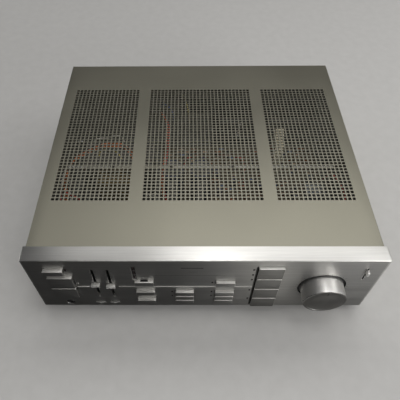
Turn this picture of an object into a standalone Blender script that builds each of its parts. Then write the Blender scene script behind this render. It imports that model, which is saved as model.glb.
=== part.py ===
"""Integrated stereo amplifier: a full-width silver hi-fi unit, built as separable solid pieces.

Sizes are in millimetres in the unit's own directions and become metres when a mesh is made:
X to the right seen from the front, Y from the front to the back, Z up.
y = 0 is the foremost lip of the faceplate, z = 0 is the plane the feet stand on.
"""

import math
from collections import namedtuple

import bmesh
import bpy
from mathutils import Vector

for old in list(bpy.data.objects):
    bpy.data.objects.remove(old, do_unlink=True)

# ---------------------------------------------------------------- driving sizes (mm)
MM = 0.001
GAP = 0.3  # air between neighbouring pieces
SHEET = 1.2  # steel sheet thickness

FACE_W = 420.0
FACE_H = 118.0
FACE_D = 19.5  # depth of the faceplate's top, bottom and side returns
FACE_Y = 1.2  # the visible front surface lies this far behind the lip
FACE_LIP_W = 1.8
FACE_PLATE = 4.0  # thickness behind the front surface
FACE_WALL = 3.0  # thickness of the returns
BACK_OF_FACE = FACE_Y + FACE_PLATE
GROUND = 12.0  # faceplate's lower edge above the table
TOP = GROUND + FACE_H

COVER_W = 415.0
COVER_L = 346.3
COVER_DROP = 1.0  # the cover lies this far below the faceplate's top
COVER_Y0 = FACE_D + GAP
COVER_Y1 = COVER_Y0 + COVER_L
CHASSIS_HALF_W = COVER_W / 2 - SHEET - GAP
REAR_Y1 = COVER_Y1 - 1.1  # outer face of the rear panel
REAR_Y0 = REAR_Y1 - SHEET

SUB_Y = 14.0  # front face of the sub-panel
SUB_BACK = SUB_Y + SHEET
KNOB_FRONT = -20.0
CORD_R = 3.2
CORD_Y_MAX = 394.0  # outermost strand of the mains cord's coil
Y_SHIFT = -(KNOB_FRONT + CORD_Y_MAX) / 2  # puts the origin under the middle of the whole unit


def world(x, y, z):
    return Vector((x * MM, (y + Y_SHIFT) * MM, z * MM))


def down(distance):
    """Height of a point the given distance below the faceplate's top edge."""
    return TOP - distance


FLOOR_Z = down(115.0)  # underside of the chassis floor
FLOOR_TOP = FLOOR_Z + SHEET

# ---------------------------------------------------------------- materials
Look = namedtuple("Look", "rgb roughness metallic")

ALUMINIUM = Look(rgb=(0.60, 0.59, 0.57), roughness=0.30, metallic=1.0)
BUTTON_METAL = Look(rgb=(0.70, 0.69, 0.66), roughness=0.28, metallic=1.0)
COVER_PAINT = Look(rgb=(0.42, 0.41, 0.35), roughness=0.42, metallic=0.35)
ZINC = Look(rgb=(0.55, 0.54, 0.50), roughness=0.38, metallic=1.0)
BLACK_PLASTIC = Look(rgb=(0.02, 0.02, 0.02), roughness=0.45, metallic=0.0)
RUBBER = Look(rgb=(0.025, 0.025, 0.025), roughness=0.75, metallic=0.0)
LAMINATION = Look(rgb=(0.16, 0.15, 0.15), roughness=0.5, metallic=0.8)
COIL_TAPE = Look(rgb=(0.62, 0.42, 0.10), roughness=0.5, metallic=0.0)
BOARD = Look(rgb=(0.30, 0.20, 0.09), roughness=0.55, metallic=0.0)
CAPACITOR_SLEEVE = Look(rgb=(0.03, 0.05, 0.10), roughness=0.35, metallic=0.0)
HEAT_SINK = Look(rgb=(0.035, 0.035, 0.04), roughness=0.5, metallic=0.9)
SMOKED = Look(rgb=(0.015, 0.015, 0.018), roughness=0.1, metallic=0.0)
RELAY = Look(rgb=(0.55, 0.60, 0.65), roughness=0.2, metallic=0.0)
SCREW = Look(rgb=(0.50, 0.50, 0.50), roughness=0.35, metallic=1.0)


def material(name, look):
    """A material of its own for one piece."""
    made = bpy.data.materials.new(name + "_look")
    made.use_nodes = True
    inputs = made.node_tree.nodes["Principled BSDF"].inputs
    inputs["Base Color"].default_value = (*look.rgb, 1.0)
    inputs["Roughness"].default_value = look.roughness
    inputs["Metallic"].default_value = look.metallic
    return made


# ---------------------------------------------------------------- shapes
# Every shape is drawn in mm into the given bmesh, which is also returned.
ALONG_X, ALONG_Y, ALONG_Z = 0, 1, 2


def loft(mesh, rings, closed=False):
    """Body through rings of equal vertex count; ends capped, or joined to each other if closed."""
    made = [[mesh.verts.new(point) for point in ring] for ring in rings]
    count = len(made[0])
    following = made[1:] + made[:1] if closed else made[1:]
    for ring, after in zip(made, following):
        for i in range(count):
            j = (i + 1) % count
            mesh.faces.new((ring[i], ring[j], after[j], after[i]))
    if not closed:
        mesh.faces.new(made[0])
        mesh.faces.new(list(reversed(made[-1])))
    return mesh


def on_plane(axis, along, pair):
    """3D point from its place along an axis and its other two coordinates in order."""
    point = list(pair)
    point.insert(axis, along)
    return point


def extruded(mesh, axis, outline, start, end):
    rings = [[on_plane(axis, along, pair) for pair in outline] for along in (start, end)]
    return loft(mesh, rings)


def turned(mesh, axis, centre, stations, count, closed=False):
    """Turned body; stations are (place along the axis, radius)."""
    rings = []
    for along, radius in stations:
        ring = []
        for i in range(count):
            angle = 2 * math.pi * i / count
            pair = (centre[0] + radius * math.cos(angle), centre[1] + radius * math.sin(angle))
            ring.append(on_plane(axis, along, pair))
        rings.append(ring)
    return loft(mesh, rings, closed)


def rod(mesh, axis, centre, start, end, radius, count):
    return turned(mesh, axis, centre, [(start, radius), (end, radius)], count)


def section(y, x0, x1, z0, z1):
    """Rectangle across Y."""
    return [(x0, y, z0), (x1, y, z0), (x1, y, z1), (x0, y, z1)]


def stepped(mesh, x, z, stations):
    """Rectangular body along Y centred on x, z; stations are (y, half width, half height)."""
    return loft(mesh, [
        section(y, x - half_w, x + half_w, z - half_h, z + half_h)
        for y, half_w, half_h in stations
    ])


def block(mesh, x0, x1, y0, y1, z0, z1):
    return extruded(mesh, ALONG_Z, [(x0, y0), (x1, y0), (x1, y1), (x0, y1)], z0, z1)


def hung_block(mesh, x0, x1, y0, y1, top, bottom):
    """Block whose top and bottom are distances below the faceplate's top edge."""
    return block(mesh, x0, x1, y0, y1, down(bottom), down(top))


# ---------------------------------------------------------------- objects
SHARP_ANGLE = math.radians(40)

ROOT = bpy.data.objects.new("amplifier", None)
bpy.context.scene.collection.objects.link(ROOT)


def piece(name, mesh, origin, look=None, smooth=False):
    """A bmesh in mm becomes an object whose origin is the given point."""
    offset = Vector(origin)
    for vertex in mesh.verts:
        vertex.co = (vertex.co - offset) * MM
    bmesh.ops.recalc_face_normals(mesh, faces=mesh.faces)
    data = bpy.data.meshes.new(name)
    mesh.to_mesh(data)
    mesh.free()
    part = bpy.data.objects.new(name, data)
    bpy.context.scene.collection.objects.link(part)
    part.location = world(*origin)
    part.parent = ROOT
    if look:
        data.materials.append(material(name, look))
    if smooth:
        data.shade_smooth()
        data.set_sharp_from_angle(angle=SHARP_ANGLE)
    return part


def boolean(part, operation, name, draw):
    """Cut or join with a hidden helper object, whose bodies the draw function makes."""
    mesh = bmesh.new()
    draw(mesh)
    helper = piece(name, mesh, (0.0, 0.0, 0.0))
    helper.hide_render = True
    helper.display_type = "WIRE"
    modifier = part.modifiers.new(name, "BOOLEAN")
    modifier.operation = operation
    modifier.solver = "EXACT"
    modifier.object = helper


def cut(part, name, draw):
    boolean(part, "DIFFERENCE", name, draw)


def join(part, name, draw):
    boolean(part, "UNION", name, draw)


# ---------------------------------------------------------------- layout of the front controls
# Tops, bottoms and *_DOWN are distances below the faceplate's top edge.
# PROUD is how far a cap stands out of the front surface.
Button = namedtuple("Button", "left right top bottom proud")

CLEAR = 0.5  # play between a cap and its opening
BUTTON_TRAVEL = 3.5
BUTTON_STEM_END = 20.0  # a button's stem reaches here at rest
SWITCH_Y = BUTTON_STEM_END + BUTTON_TRAVEL + 0.8
KNOB_STEM_END = 18.0  # stems of the sliding knobs

# left and right edges of the button columns
SPEAKER_X = (-188.0, -157.6)
FILTER_X = (-84.0, -60.4)
MODE_X = (-34.6, -11.4)
TAPE_X = (15.0, 38.6)
SELECTOR_X = (62.8, 93.4)

SPEAKER_TOP, SPEAKER_PITCH, SPEAKER_H, SPEAKER_PROUD = 36.8, 26.4, 25.0, 4.6
SPEAKER_BOTTOM = SPEAKER_TOP + SPEAKER_PITCH + SPEAKER_H
SELECTOR_TOP, SELECTOR_PITCH, SELECTOR_H, SELECTOR_PROUD = 14.4, 25.2, 23.9, 4.2
SELECTOR_BOTTOM = SELECTOR_TOP + 3 * SELECTOR_PITCH + SELECTOR_H
SMALL_TOP, SMALL_PITCH, SMALL_H, SMALL_PROUD = 73.0, 11.3, 9.0, 5.2


def row_button(column, row, first_top, pitch, height, proud):
    top = first_top + row * pitch
    return Button(*column, top, top + height, proud)


def speaker(row):
    return row_button(SPEAKER_X, row, SPEAKER_TOP, SPEAKER_PITCH, SPEAKER_H, SPEAKER_PROUD)


def small(column, row):
    return row_button(column, row, SMALL_TOP, SMALL_PITCH, SMALL_H, SMALL_PROUD)


def selector(row):
    return row_button(
        SELECTOR_X, row, SELECTOR_TOP, SELECTOR_PITCH, SELECTOR_H, SELECTOR_PROUD
    )


# left, right, top, bottom, proud
BUTTONS = {
    "power_button": Button(-189.0, -165.0, 19.4, 28.6, 5.8),
    "speaker_a_button": speaker(0),
    "speaker_b_button": speaker(1),
    "muting_button": Button(*FILTER_X, 46.6, 55.8, 5.0),
    "subsonic_filter_button": Button(*FILTER_X, 71.4, 80.6, 5.4),
    "loudness_button": Button(*FILTER_X, 94.8, 104.0, 5.4),
    "mode_button": small(MODE_X, 0),
    "cartridge_button": small(MODE_X, 1),
    "dubbing_button": small(MODE_X, 2),
    "adaptor_button": Button(*TAPE_X, 48.2, 57.4, 5.0),
    "tape_1_button": small(TAPE_X, 0),
    "tape_2_button": small(TAPE_X, 1),
    "tape_copy_button": small(TAPE_X, 2),
}
for row, source in enumerate(("phono", "tuner", "auxiliary", "direct")):
    BUTTONS["selector_%s_button" % source] = selector(row)

TONES = ("bass", "treble")
SLOT_X = {"bass": -132.0, "treble": -113.6}
SLOT_TOP, SLOT_BOTTOM, SLOT_W = 21.5, 91.5, 3.0
SLIDER_DOWN = {"bass": 56.5, "treble": 59.3}
TURNOVER_X = {"bass": -133.2, "treble": -114.6}
TURNOVER_DOWN = 107.6
TURNOVER_SLOT_W, TURNOVER_SLOT_H = 10.0, 2.6
BALANCE_X, BALANCE_TOP, BALANCE_BOTTOM, BALANCE_DOWN = 190.0, 18.0, 44.0, 24.4
BALANCE_SLOT_W = 1.6

JACK_R = 5.2
JACK_AXIS = (-173.4, down(107.0))  # x, z
KNOB_AXIS = (146.0, down(63.2))
KNOB_WELL_R = 29.3
KNOB_WELL_DEPTH = 2.8
WINDOW_X = (-85.0, -80.8)
WINDOW_TOP, WINDOW_BOTTOM = 14.6, 45.0


def middle(button):
    """x, z of a button's centre."""
    return (button.left + button.right) / 2, down((button.top + button.bottom) / 2)


# ---------------------------------------------------------------- faceplate
def faceplate():
    half_w, half_h = FACE_W / 2, FACE_H / 2
    middle_z = (GROUND + TOP) / 2
    edge = 0.5  # chamfer round the lip
    mesh = stepped(bmesh.new(), 0.0, middle_z, [
        (0.0, half_w - edge, half_h - edge),
        (edge, half_w, half_h),
        (FACE_D, half_w, half_h),
    ])
    plate = piece("faceplate", mesh, (0.0, 0.0, middle_z), ALUMINIUM)
    pierce_y = (0.5, 9.0)  # cutters reach from before to behind the plate
    overrun = 5.0

    def hollows(cutter):
        """Shallow recess inside the lip, and the space between the returns behind the plate."""
        for y0, y1, rim in (
            (-overrun, FACE_Y, FACE_LIP_W),
            (BACK_OF_FACE, FACE_D + overrun, FACE_WALL),
        ):
            inner_w = half_w - rim
            block(cutter, -inner_w, inner_w, y0, y1, GROUND + rim, TOP - rim)

    def cap_opening(cutter, column, top, bottom):
        x0, x1 = column
        hung_block(cutter, x0 - CLEAR, x1 + CLEAR, *pierce_y, top - CLEAR, bottom + CLEAR)

    def slot(cutter, x, width, top, bottom):
        hung_block(cutter, x - width / 2, x + width / 2, *pierce_y, top, bottom)

    def openings(cutter):
        for name, button in BUTTONS.items():
            if not name.startswith(("selector", "speaker")):
                cap_opening(cutter, (button.left, button.right), button.top, button.bottom)
        # the selector buttons share one opening, and so do the speaker buttons
        cap_opening(cutter, SELECTOR_X, SELECTOR_TOP, SELECTOR_BOTTOM)
        cap_opening(cutter, SPEAKER_X, SPEAKER_TOP, SPEAKER_BOTTOM)
        for x in SLOT_X.values():
            slot(cutter, x, SLOT_W, SLOT_TOP, SLOT_BOTTOM)
        for x in TURNOVER_X.values():
            top = TURNOVER_DOWN - TURNOVER_SLOT_H / 2
            slot(cutter, x, TURNOVER_SLOT_W, top, TURNOVER_DOWN + TURNOVER_SLOT_H / 2)
        slot(cutter, BALANCE_X, BALANCE_SLOT_W, BALANCE_TOP, BALANCE_BOTTOM)
        hung_block(cutter, *WINDOW_X, *pierce_y, WINDOW_TOP, WINDOW_BOTTOM)

    def round_openings(cutter):
        """Hole for the headphone jack, and the blind well round the volume knob."""
        rod(cutter, ALONG_Y, JACK_AXIS, *pierce_y, JACK_R + 0.4, 16)
        well_end = FACE_Y + KNOB_WELL_DEPTH
        rod(cutter, ALONG_Y, KNOB_AXIS, pierce_y[0], well_end, KNOB_WELL_R, 48)

    def shaft_hole(cutter):
        rod(cutter, ALONG_Y, KNOB_AXIS, *pierce_y, 6.5, 16)

    cut(plate, "cut_hollows", hollows)
    cut(plate, "cut_openings", openings)
    cut(plate, "cut_round_openings", round_openings)
    cut(plate, "cut_shaft_hole", shaft_hole)


# ---------------------------------------------------------------- buttons and sliding knobs
def push_button(name, button):
    """Cap with a chamfered front edge, side stops behind the faceplate, and a square stem."""
    x, z = middle(button)
    half_w, half_h = (button.right - button.left) / 2, (button.bottom - button.top) / 2
    front = FACE_Y - button.proud
    edge = 0.45
    stop_y0, stop_y1 = BACK_OF_FACE + 0.7, BACK_OF_FACE + 1.8
    stop_half_w, stop_half_h = half_w + 1.2, half_h - 0.05
    half_stem = 2.0
    mesh = stepped(bmesh.new(), x, z, [
        (front, half_w - edge, half_h - edge),
        (front + edge, half_w, half_h),
        (stop_y0, half_w, half_h),
        (stop_y0, stop_half_w, stop_half_h),
        (stop_y1, stop_half_w, stop_half_h),
        (stop_y1, half_stem, half_stem),
        (BUTTON_STEM_END, half_stem, half_stem),
    ])
    piece(name, mesh, (x, front, z), BUTTON_METAL)


def sliding_knob(name, x, z, proud, cap, stem, edge=0.5):
    """Chamfered cap on a flat stem; cap and stem are (width, height)."""
    front, back = FACE_Y - proud, FACE_Y - 0.5
    half_w, half_h = cap[0] / 2, cap[1] / 2
    half_stem = (stem[0] / 2, stem[1] / 2)
    mesh = stepped(bmesh.new(), x, z, [
        (front, half_w - edge, half_h - edge),
        (front + edge, half_w, half_h),
        (back, half_w, half_h),
        (back, *half_stem),
        (KNOB_STEM_END, *half_stem),
    ])
    piece(name, mesh, (x, front, z), BUTTON_METAL)


def tone_slider_knob(tone):
    sliding_knob(
        tone + "_slider_knob", SLOT_X[tone], down(SLIDER_DOWN[tone]),
        proud=5.6, cap=(10.8, 6.4), stem=(1.6, 4.8),
    )


def balance_knob():
    sliding_knob(
        "balance_slider_knob", BALANCE_X, down(BALANCE_DOWN),
        proud=6.0, cap=(3.2, 7.0), stem=(0.8, 3.6),
    )


def turnover_knob(tone):
    """Low winged knob of a small slide switch, with a raised middle."""
    x, z = TURNOVER_X[tone], down(TURNOVER_DOWN)
    front, back = FACE_Y - 3.2, FACE_Y - 0.5
    half_w, half_h = 6.3, 1.8
    half_stem = (1.6, 0.9)
    mesh = stepped(bmesh.new(), x, z, [
        (front, 1.2, half_h - 0.4),
        (front + 1.2, half_w - 0.6, half_h),
        (back, half_w, half_h),
        (back, *half_stem),
        (KNOB_STEM_END, *half_stem),
    ])
    piece(tone + "_turnover_knob", mesh, (x, front, z), BUTTON_METAL)


# ---------------------------------------------------------------- volume control
SHAFT_R = 3.0
KNOB_R = 25.9
KNOB_FLANGE_R = 27.0
KNOB_BORE_END = KNOB_FRONT + 6.0


def volume_knob():
    """Turned cap with a shallow dished front, a rear flange and a blind bore from behind."""
    flange_y1 = FACE_Y + 1.6
    flange_y0 = flange_y1 - 2.6
    bore_r = SHAFT_R + GAP
    profile = [
        (KNOB_FRONT + 0.5, KNOB_R - 2.4),
        (KNOB_FRONT, KNOB_R - 1.6),
        (KNOB_FRONT, KNOB_R - 0.6),
        (KNOB_FRONT + 0.6, KNOB_R),
        (flange_y0, KNOB_R + 0.25),
        (flange_y0, KNOB_FLANGE_R),
        (flange_y1, KNOB_FLANGE_R),
        (flange_y1, bore_r),
        (KNOB_BORE_END, bore_r),
    ]
    mesh = turned(bmesh.new(), ALONG_Y, KNOB_AXIS, profile, 48)
    piece("volume_knob", mesh, (KNOB_AXIS[0], FACE_Y, KNOB_AXIS[1]), BUTTON_METAL, smooth=True)


def volume_shaft():
    tip, edge = KNOB_BORE_END + GAP, 0.4
    profile = [(tip, SHAFT_R - edge), (tip + edge, SHAFT_R), (26.0, SHAFT_R)]
    mesh = turned(bmesh.new(), ALONG_Y, KNOB_AXIS, profile, 16)
    piece("volume_shaft", mesh, (KNOB_AXIS[0], FACE_Y, KNOB_AXIS[1]), ZINC, smooth=True)


def volume_pot():
    """Bushing with a collar before the sub-panel and a hollow can behind it."""
    hole_r, bushing_r, collar_r, neck_r, can_r = SHAFT_R + 0.4, 4.2, 6.6, 4.6, 13.0
    vent_r = 1.0  # hole in the back that keeps the inside open to the air
    front, inside_end, back = 8.0, 27.0, 36.0
    outline = [
        (front, hole_r), (front, bushing_r),
        (SUB_Y - 2.4, bushing_r), (SUB_Y - 2.4, collar_r),
        (SUB_Y - GAP, collar_r), (SUB_Y - GAP, neck_r),
        (SUB_BACK + GAP, neck_r), (SUB_BACK + GAP, can_r),
        (back, can_r), (back, vent_r),
        (inside_end, vent_r), (inside_end, hole_r),
    ]
    mesh = turned(bmesh.new(), ALONG_Y, KNOB_AXIS, outline, 20, closed=True)
    piece("volume_pot", mesh, (KNOB_AXIS[0], SUB_Y, KNOB_AXIS[1]), ZINC, smooth=True)


# ---------------------------------------------------------------- sub-panel and switches
def front_subpanel():
    """Sheet across the front with its top edge folded back and thickened into a rim."""
    half_w = FACE_W / 2 - FACE_WALL - 3.5
    fold_y = 24.0
    z0, z1 = GROUND + 5.0, TOP - 5.0
    profile = [
        (SUB_Y, z0), (SUB_BACK, z0), (SUB_BACK, z1 - SHEET),
        (fold_y, z1 - SHEET), (fold_y, z1), (SUB_Y, z1),
    ]
    mesh = extruded(bmesh.new(), ALONG_X, profile, -half_w, half_w)
    panel = piece("front_subpanel", mesh, (0.0, SUB_Y, (z0 + z1) / 2), ZINC)
    pierce_y = (SUB_Y - 1, SUB_BACK + 1)

    def holes(cutter):
        def slot(x, half, top, bottom):
            hung_block(cutter, x - half, x + half, *pierce_y, top, bottom)

        for button in BUTTONS.values():
            x, z = middle(button)
            block(cutter, x - 3, x + 3, *pierce_y, z - 3, z + 3)
        for x in SLOT_X.values():
            slot(x, 2, SLOT_TOP - 2, SLOT_BOTTOM + 2)
        for x in TURNOVER_X.values():
            slot(x, 5.4, TURNOVER_DOWN - 1.6, TURNOVER_DOWN + 1.6)
        slot(BALANCE_X, 1.4, BALANCE_TOP - 1, BALANCE_BOTTOM + 1)
        rod(cutter, ALONG_Y, KNOB_AXIS, *pierce_y, 5.2, 16)
        rod(cutter, ALONG_Y, JACK_AXIS, *pierce_y, 5.0, 16)

    cut(panel, "cut_subpanel", holes)


def slide_pot(tone):
    """Slide control: a long can behind the sub-panel with a channel for the knob's stem."""
    x = SLOT_X[tone]
    y0 = SUB_BACK + 0.4
    half_w, depth, top, bottom = 4.6, 9.0, 12.0, 101.0
    mesh = hung_block(bmesh.new(), x - half_w, x + half_w, y0, y0 + depth, top, bottom)
    pot = piece(tone + "_slide_pot", mesh, (x, y0, down((top + bottom) / 2)), ZINC)

    def channel(cutter):
        hung_block(cutter, x - 1.6, x + 1.6, y0 - 1, 20.5, top + 7, bottom - 7)

    cut(pot, "cut_%s_pot" % tone, channel)


def power_switch():
    x0, x1, top, bottom = -187.5, -166.5, 12.0, 36.0
    mesh = hung_block(bmesh.new(), x0, x1, SWITCH_Y, 62.0, top, bottom)
    origin = ((x0 + x1) / 2, SWITCH_Y, down((top + bottom) / 2))
    piece("power_switch", mesh, origin, BLACK_PLASTIC)


def selector_switch_bank():
    x0, x1 = SELECTOR_X
    mesh = hung_block(
        bmesh.new(), x0 + 1, x1 - 1, SWITCH_Y, 54.0, SELECTOR_TOP + 2, SELECTOR_BOTTOM - 3
    )
    piece("selector_switch_bank", mesh, ((x0 + x1) / 2, SWITCH_Y, down(64.0)), ZINC)


def control_board():
    """Board carrying the push switches of the three columns of small buttons."""
    x0, x1, top, bottom = -98.0, 52.0, 40.0, 109.0
    y0 = SWITCH_Y + 6.0
    mesh = hung_block(bmesh.new(), x0, x1, y0, y0 + 1.6, top, bottom)
    origin = ((x0 + x1) / 2, y0, down((top + bottom) / 2))
    board = piece("control_board", mesh, origin, BOARD)

    def push_switches(added):
        for button in BUTTONS.values():
            if button.left >= x0 and button.right <= x1:
                x, z = middle(button)
                block(added, x - 7, x + 7, SWITCH_Y, y0 + 0.5, z - 4.4, z + 4.4)

    join(board, "add_push_switches", push_switches)


def headphone_jack():
    """Bushing through faceplate and sub-panel, with a wider body behind and a bore right through."""
    bore_r, neck_r, body_r = 3.3, 4.6, 6.2
    back = 40.0
    outline = [
        (FACE_Y - 0.8, bore_r + 0.5), (FACE_Y - 0.8, JACK_R - 0.5),
        (FACE_Y - 0.3, JACK_R), (SUB_Y - 1.0, JACK_R), (SUB_Y - 1.0, neck_r),
        (SUB_BACK + 2.0, neck_r), (SUB_BACK + 2.0, body_r),
        (back, body_r), (back, bore_r), (FACE_Y - 0.3, bore_r),
    ]
    mesh = turned(bmesh.new(), ALONG_Y, JACK_AXIS, outline, 16, closed=True)
    origin = (JACK_AXIS[0], FACE_Y, JACK_AXIS[1])
    piece("headphone_jack", mesh, origin, BLACK_PLASTIC, smooth=True)


def indicator_window():
    """Narrow upright pane with a wider flange behind the faceplate."""
    x0, x1 = WINDOW_X
    z0, z1 = down(WINDOW_BOTTOM), down(WINDOW_TOP)
    pane = (x0 + GAP, x1 - GAP, z0 + GAP, z1 - GAP)
    flange = (x0 - 1.2, x1 + 0.4, z0 - 1.0, z1 + 1.0)
    flange_y = BACK_OF_FACE + GAP
    mesh = loft(bmesh.new(), [
        section(FACE_Y + 0.3, *pane),
        section(flange_y, *pane),
        section(flange_y, *flange),
        section(flange_y + 1.5, *flange),
    ])
    piece("indicator_window", mesh, ((x0 + x1) / 2, FACE_Y, (z0 + z1) / 2), SMOKED)


# ---------------------------------------------------------------- casing
VENT_PITCH = 5.47  # between rows, and between columns of the grid
VENT_ROWS = 40
VENT_REAR = 63.3  # from the cover's rear edge to the rearmost row
VENT_FIELDS = ((0, 17), (21, 48), (52, 69))  # first and last grid column each slot spans
VENT_MIDDLE_COLUMN = 34.5
VENT_SLOT_W = 3.2

SCREW_Y = {"front": 95.0, "rear": 290.0}
SCREW_Z = down(98.0)
FOOT_X = {"left": -172.0, "right": 172.0}
FOOT_Y = {"front": 60.0, "rear": 325.0}


def fold(middle_x, middle_z, radius, start, end, steps=3):
    """Arc of (x, z) points; angles in degrees."""
    points = []
    for i in range(steps + 1):
        angle = math.radians(start + (end - start) * i / steps)
        x = middle_x + radius * math.cos(angle)
        points.append((x, middle_z + radius * math.sin(angle)))
    return points


def side_screw_holes(cutter, inner_x, outer_x, radius):
    for side in (-1, 1):
        for y in SCREW_Y.values():
            rod(cutter, ALONG_X, (y, SCREW_Z), side * inner_x, side * outer_x, radius, 12)


def top_cover():
    """Sheet folded down at both sides, with three fields of slots across the top."""
    half_w, z0, z1 = COVER_W / 2, FLOOR_Z, down(COVER_DROP)
    outer_r = 1.6
    inner_r = outer_r - SHEET
    fold_x, fold_z = half_w - outer_r, z1 - outer_r
    profile = [
        (half_w, z0),
        *fold(fold_x, fold_z, outer_r, 0, 90),
        *fold(-fold_x, fold_z, outer_r, 90, 180),
        (-half_w, z0),
        (-half_w + SHEET, z0),
        *fold(-fold_x, fold_z, inner_r, 180, 90),
        *fold(fold_x, fold_z, inner_r, 90, 0),
        (half_w - SHEET, z0),
    ]
    mesh = extruded(bmesh.new(), ALONG_Y, profile, COVER_Y0, COVER_Y1)
    cover = piece("top_cover", mesh, (0.0, COVER_Y0, z1), COVER_PAINT)

    def vents(cutter):
        half = VENT_SLOT_W / 2
        for row in range(VENT_ROWS):
            y = COVER_Y1 - VENT_REAR - row * VENT_PITCH
            for first, last in VENT_FIELDS:
                x0 = (first - VENT_MIDDLE_COLUMN) * VENT_PITCH - half
                x1 = (last - VENT_MIDDLE_COLUMN) * VENT_PITCH + half
                block(cutter, x0, x1, y - half, y + half, z1 - 3, z1 + 1)

    def screw_holes(cutter):
        side_screw_holes(cutter, half_w - 3, half_w + 1, 2.3)

    cut(cover, "cut_vents", vents)
    cut(cover, "cut_cover_screws", screw_holes)


def cover_screws():
    """Machine screws that hold the cover's sides to the chassis."""
    half_w = COVER_W / 2
    # distance from the unit's middle plane, radius: from the head to the tip
    profile = [
        (half_w + 2.4, 1.2), (half_w + 2.2, 2.6), (half_w + 1.4, 3.8), (half_w + GAP, 4.2),
        (half_w + GAP, 2.0), (half_w - 9.0, 2.0), (half_w - 9.6, 1.4),
    ]
    for side, sign in (("left", -1), ("right", 1)):
        stations = [(sign * x, radius) for x, radius in profile]
        for end, y in SCREW_Y.items():
            mesh = turned(bmesh.new(), ALONG_X, (y, SCREW_Z), stations, 12)
            name = "cover_screw_%s_%s" % (side, end)
            piece(name, mesh, (sign * half_w, y, SCREW_Z), SCREW, smooth=True)


def base_chassis():
    """Floor with two low side walls."""
    outer, inner = CHASSIS_HALF_W, CHASSIS_HALF_W - SHEET
    y0, y1 = 20.0, REAR_Y0 - GAP
    z0, z1 = FLOOR_Z, FLOOR_Z + 30.0
    profile = [
        (-outer, z0), (outer, z0), (outer, z1), (inner, z1),
        (inner, FLOOR_TOP), (-inner, FLOOR_TOP), (-inner, z1), (-outer, z1),
    ]
    mesh = extruded(bmesh.new(), ALONG_Y, profile, y0, y1)
    chassis = piece("base_chassis", mesh, (0.0, y0, z0), ZINC)
    pierce_z = (z0 - 2, FLOOR_TOP + 2)

    def floor_openings(cutter):
        """Three banks of eight slots, and a hole for each foot's spigot."""
        for x in (-95.0, 0.0, 95.0):
            for row in range(8):
                y = 240.0 + row * 10.0
                block(cutter, x - 28.0, x + 28.0, y - 2.0, y + 2.0, *pierce_z)
        for x in FOOT_X.values():
            for y in FOOT_Y.values():
                rod(cutter, ALONG_Z, (x, y), *pierce_z, 2.6, 10)

    def screw_holes(cutter):
        side_screw_holes(cutter, outer - 4, outer + 1, 2.4)

    cut(chassis, "cut_floor_vents", floor_openings)
    cut(chassis, "cut_side_screws", screw_holes)


def feet():
    """Stepped feet, each with a spigot up through the chassis floor."""
    spigot_r = 2.2
    profile = [  # z, radius
        (0.0, 17.0), (1.0, 18.5), (3.2, 19.0), (3.2, 20.5), (5.0, 21.5),
        (FLOOR_Z - GAP, 22.5), (FLOOR_Z - GAP, spigot_r), (FLOOR_Z + 3.5, spigot_r),
    ]
    for side, x in FOOT_X.items():
        for end, y in FOOT_Y.items():
            mesh = turned(bmesh.new(), ALONG_Z, (x, y), profile, 20)
            piece("foot_%s_%s" % (end, side), mesh, (x, y, 0.0), RUBBER, smooth=True)


def crossbrace():
    """Folded bar across the chassis under the vents, on two legs with turned-out feet."""
    x0, x1 = -181.0, 176.0
    y0, y1 = 144.8, 151.0
    top = down(5.0)
    low = FLOOR_TOP + GAP
    foot = 9.0
    profile = [
        (x0 - foot, low), (x0 - foot, low + SHEET), (x0, low + SHEET), (x0, top),
        (x1, top), (x1, low + SHEET), (x1 + foot, low + SHEET), (x1 + foot, low),
        (x1 - SHEET, low), (x1 - SHEET, top - SHEET), (x0 + SHEET, top - SHEET), (x0 + SHEET, low),
    ]
    mesh = extruded(bmesh.new(), ALONG_Y, profile, y0, y1)
    piece("chassis_crossbrace", mesh, ((x0 + x1) / 2, y0, top), ZINC)


# ---------------------------------------------------------------- rear panel and its fittings
RELIEF_AXIS = (-186.0, down(70.0))  # x, z of the cord's exit
INPUTS_X, INPUTS_TOP = (70.0, 186.0), 30.0
TERMINALS_X, TERMINALS_TOP = (-38.0, 46.0), 60.0
FITTING_BOTTOM = 100.0  # both blocks end this far down
HOLE_INSET_X, HOLE_INSET_Z = 6.0, 4.0  # panel opening inside a fitting's outline
NECK_INSET_X, NECK_INSET_Z = 6.5, 4.5  # part of a fitting that passes the opening


def rear_panel():
    z0, z1 = FLOOR_Z, down(COVER_DROP + SHEET + GAP)
    mesh = block(bmesh.new(), -CHASSIS_HALF_W, CHASSIS_HALF_W, REAR_Y0, REAR_Y1, z0, z1)
    panel = piece("rear_panel", mesh, (0.0, REAR_Y1, (z0 + z1) / 2), ZINC)
    pierce_y = (REAR_Y0 - 2, REAR_Y1 + 2)

    def holes(cutter):
        for (x0, x1), top in ((INPUTS_X, INPUTS_TOP), (TERMINALS_X, TERMINALS_TOP)):
            hung_block(
                cutter, x0 + HOLE_INSET_X, x1 - HOLE_INSET_X, *pierce_y,
                top + HOLE_INSET_Z, FITTING_BOTTOM - HOLE_INSET_Z,
            )
        rod(cutter, ALONG_Y, RELIEF_AXIS, *pierce_y, 7.0, 14)
        for k in range(12):
            x = -130.0 + k * 7.0
            hung_block(cutter, x - 1.6, x + 1.6, *pierce_y, 18.0, 48.0)

    cut(panel, "cut_rear", holes)


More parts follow.
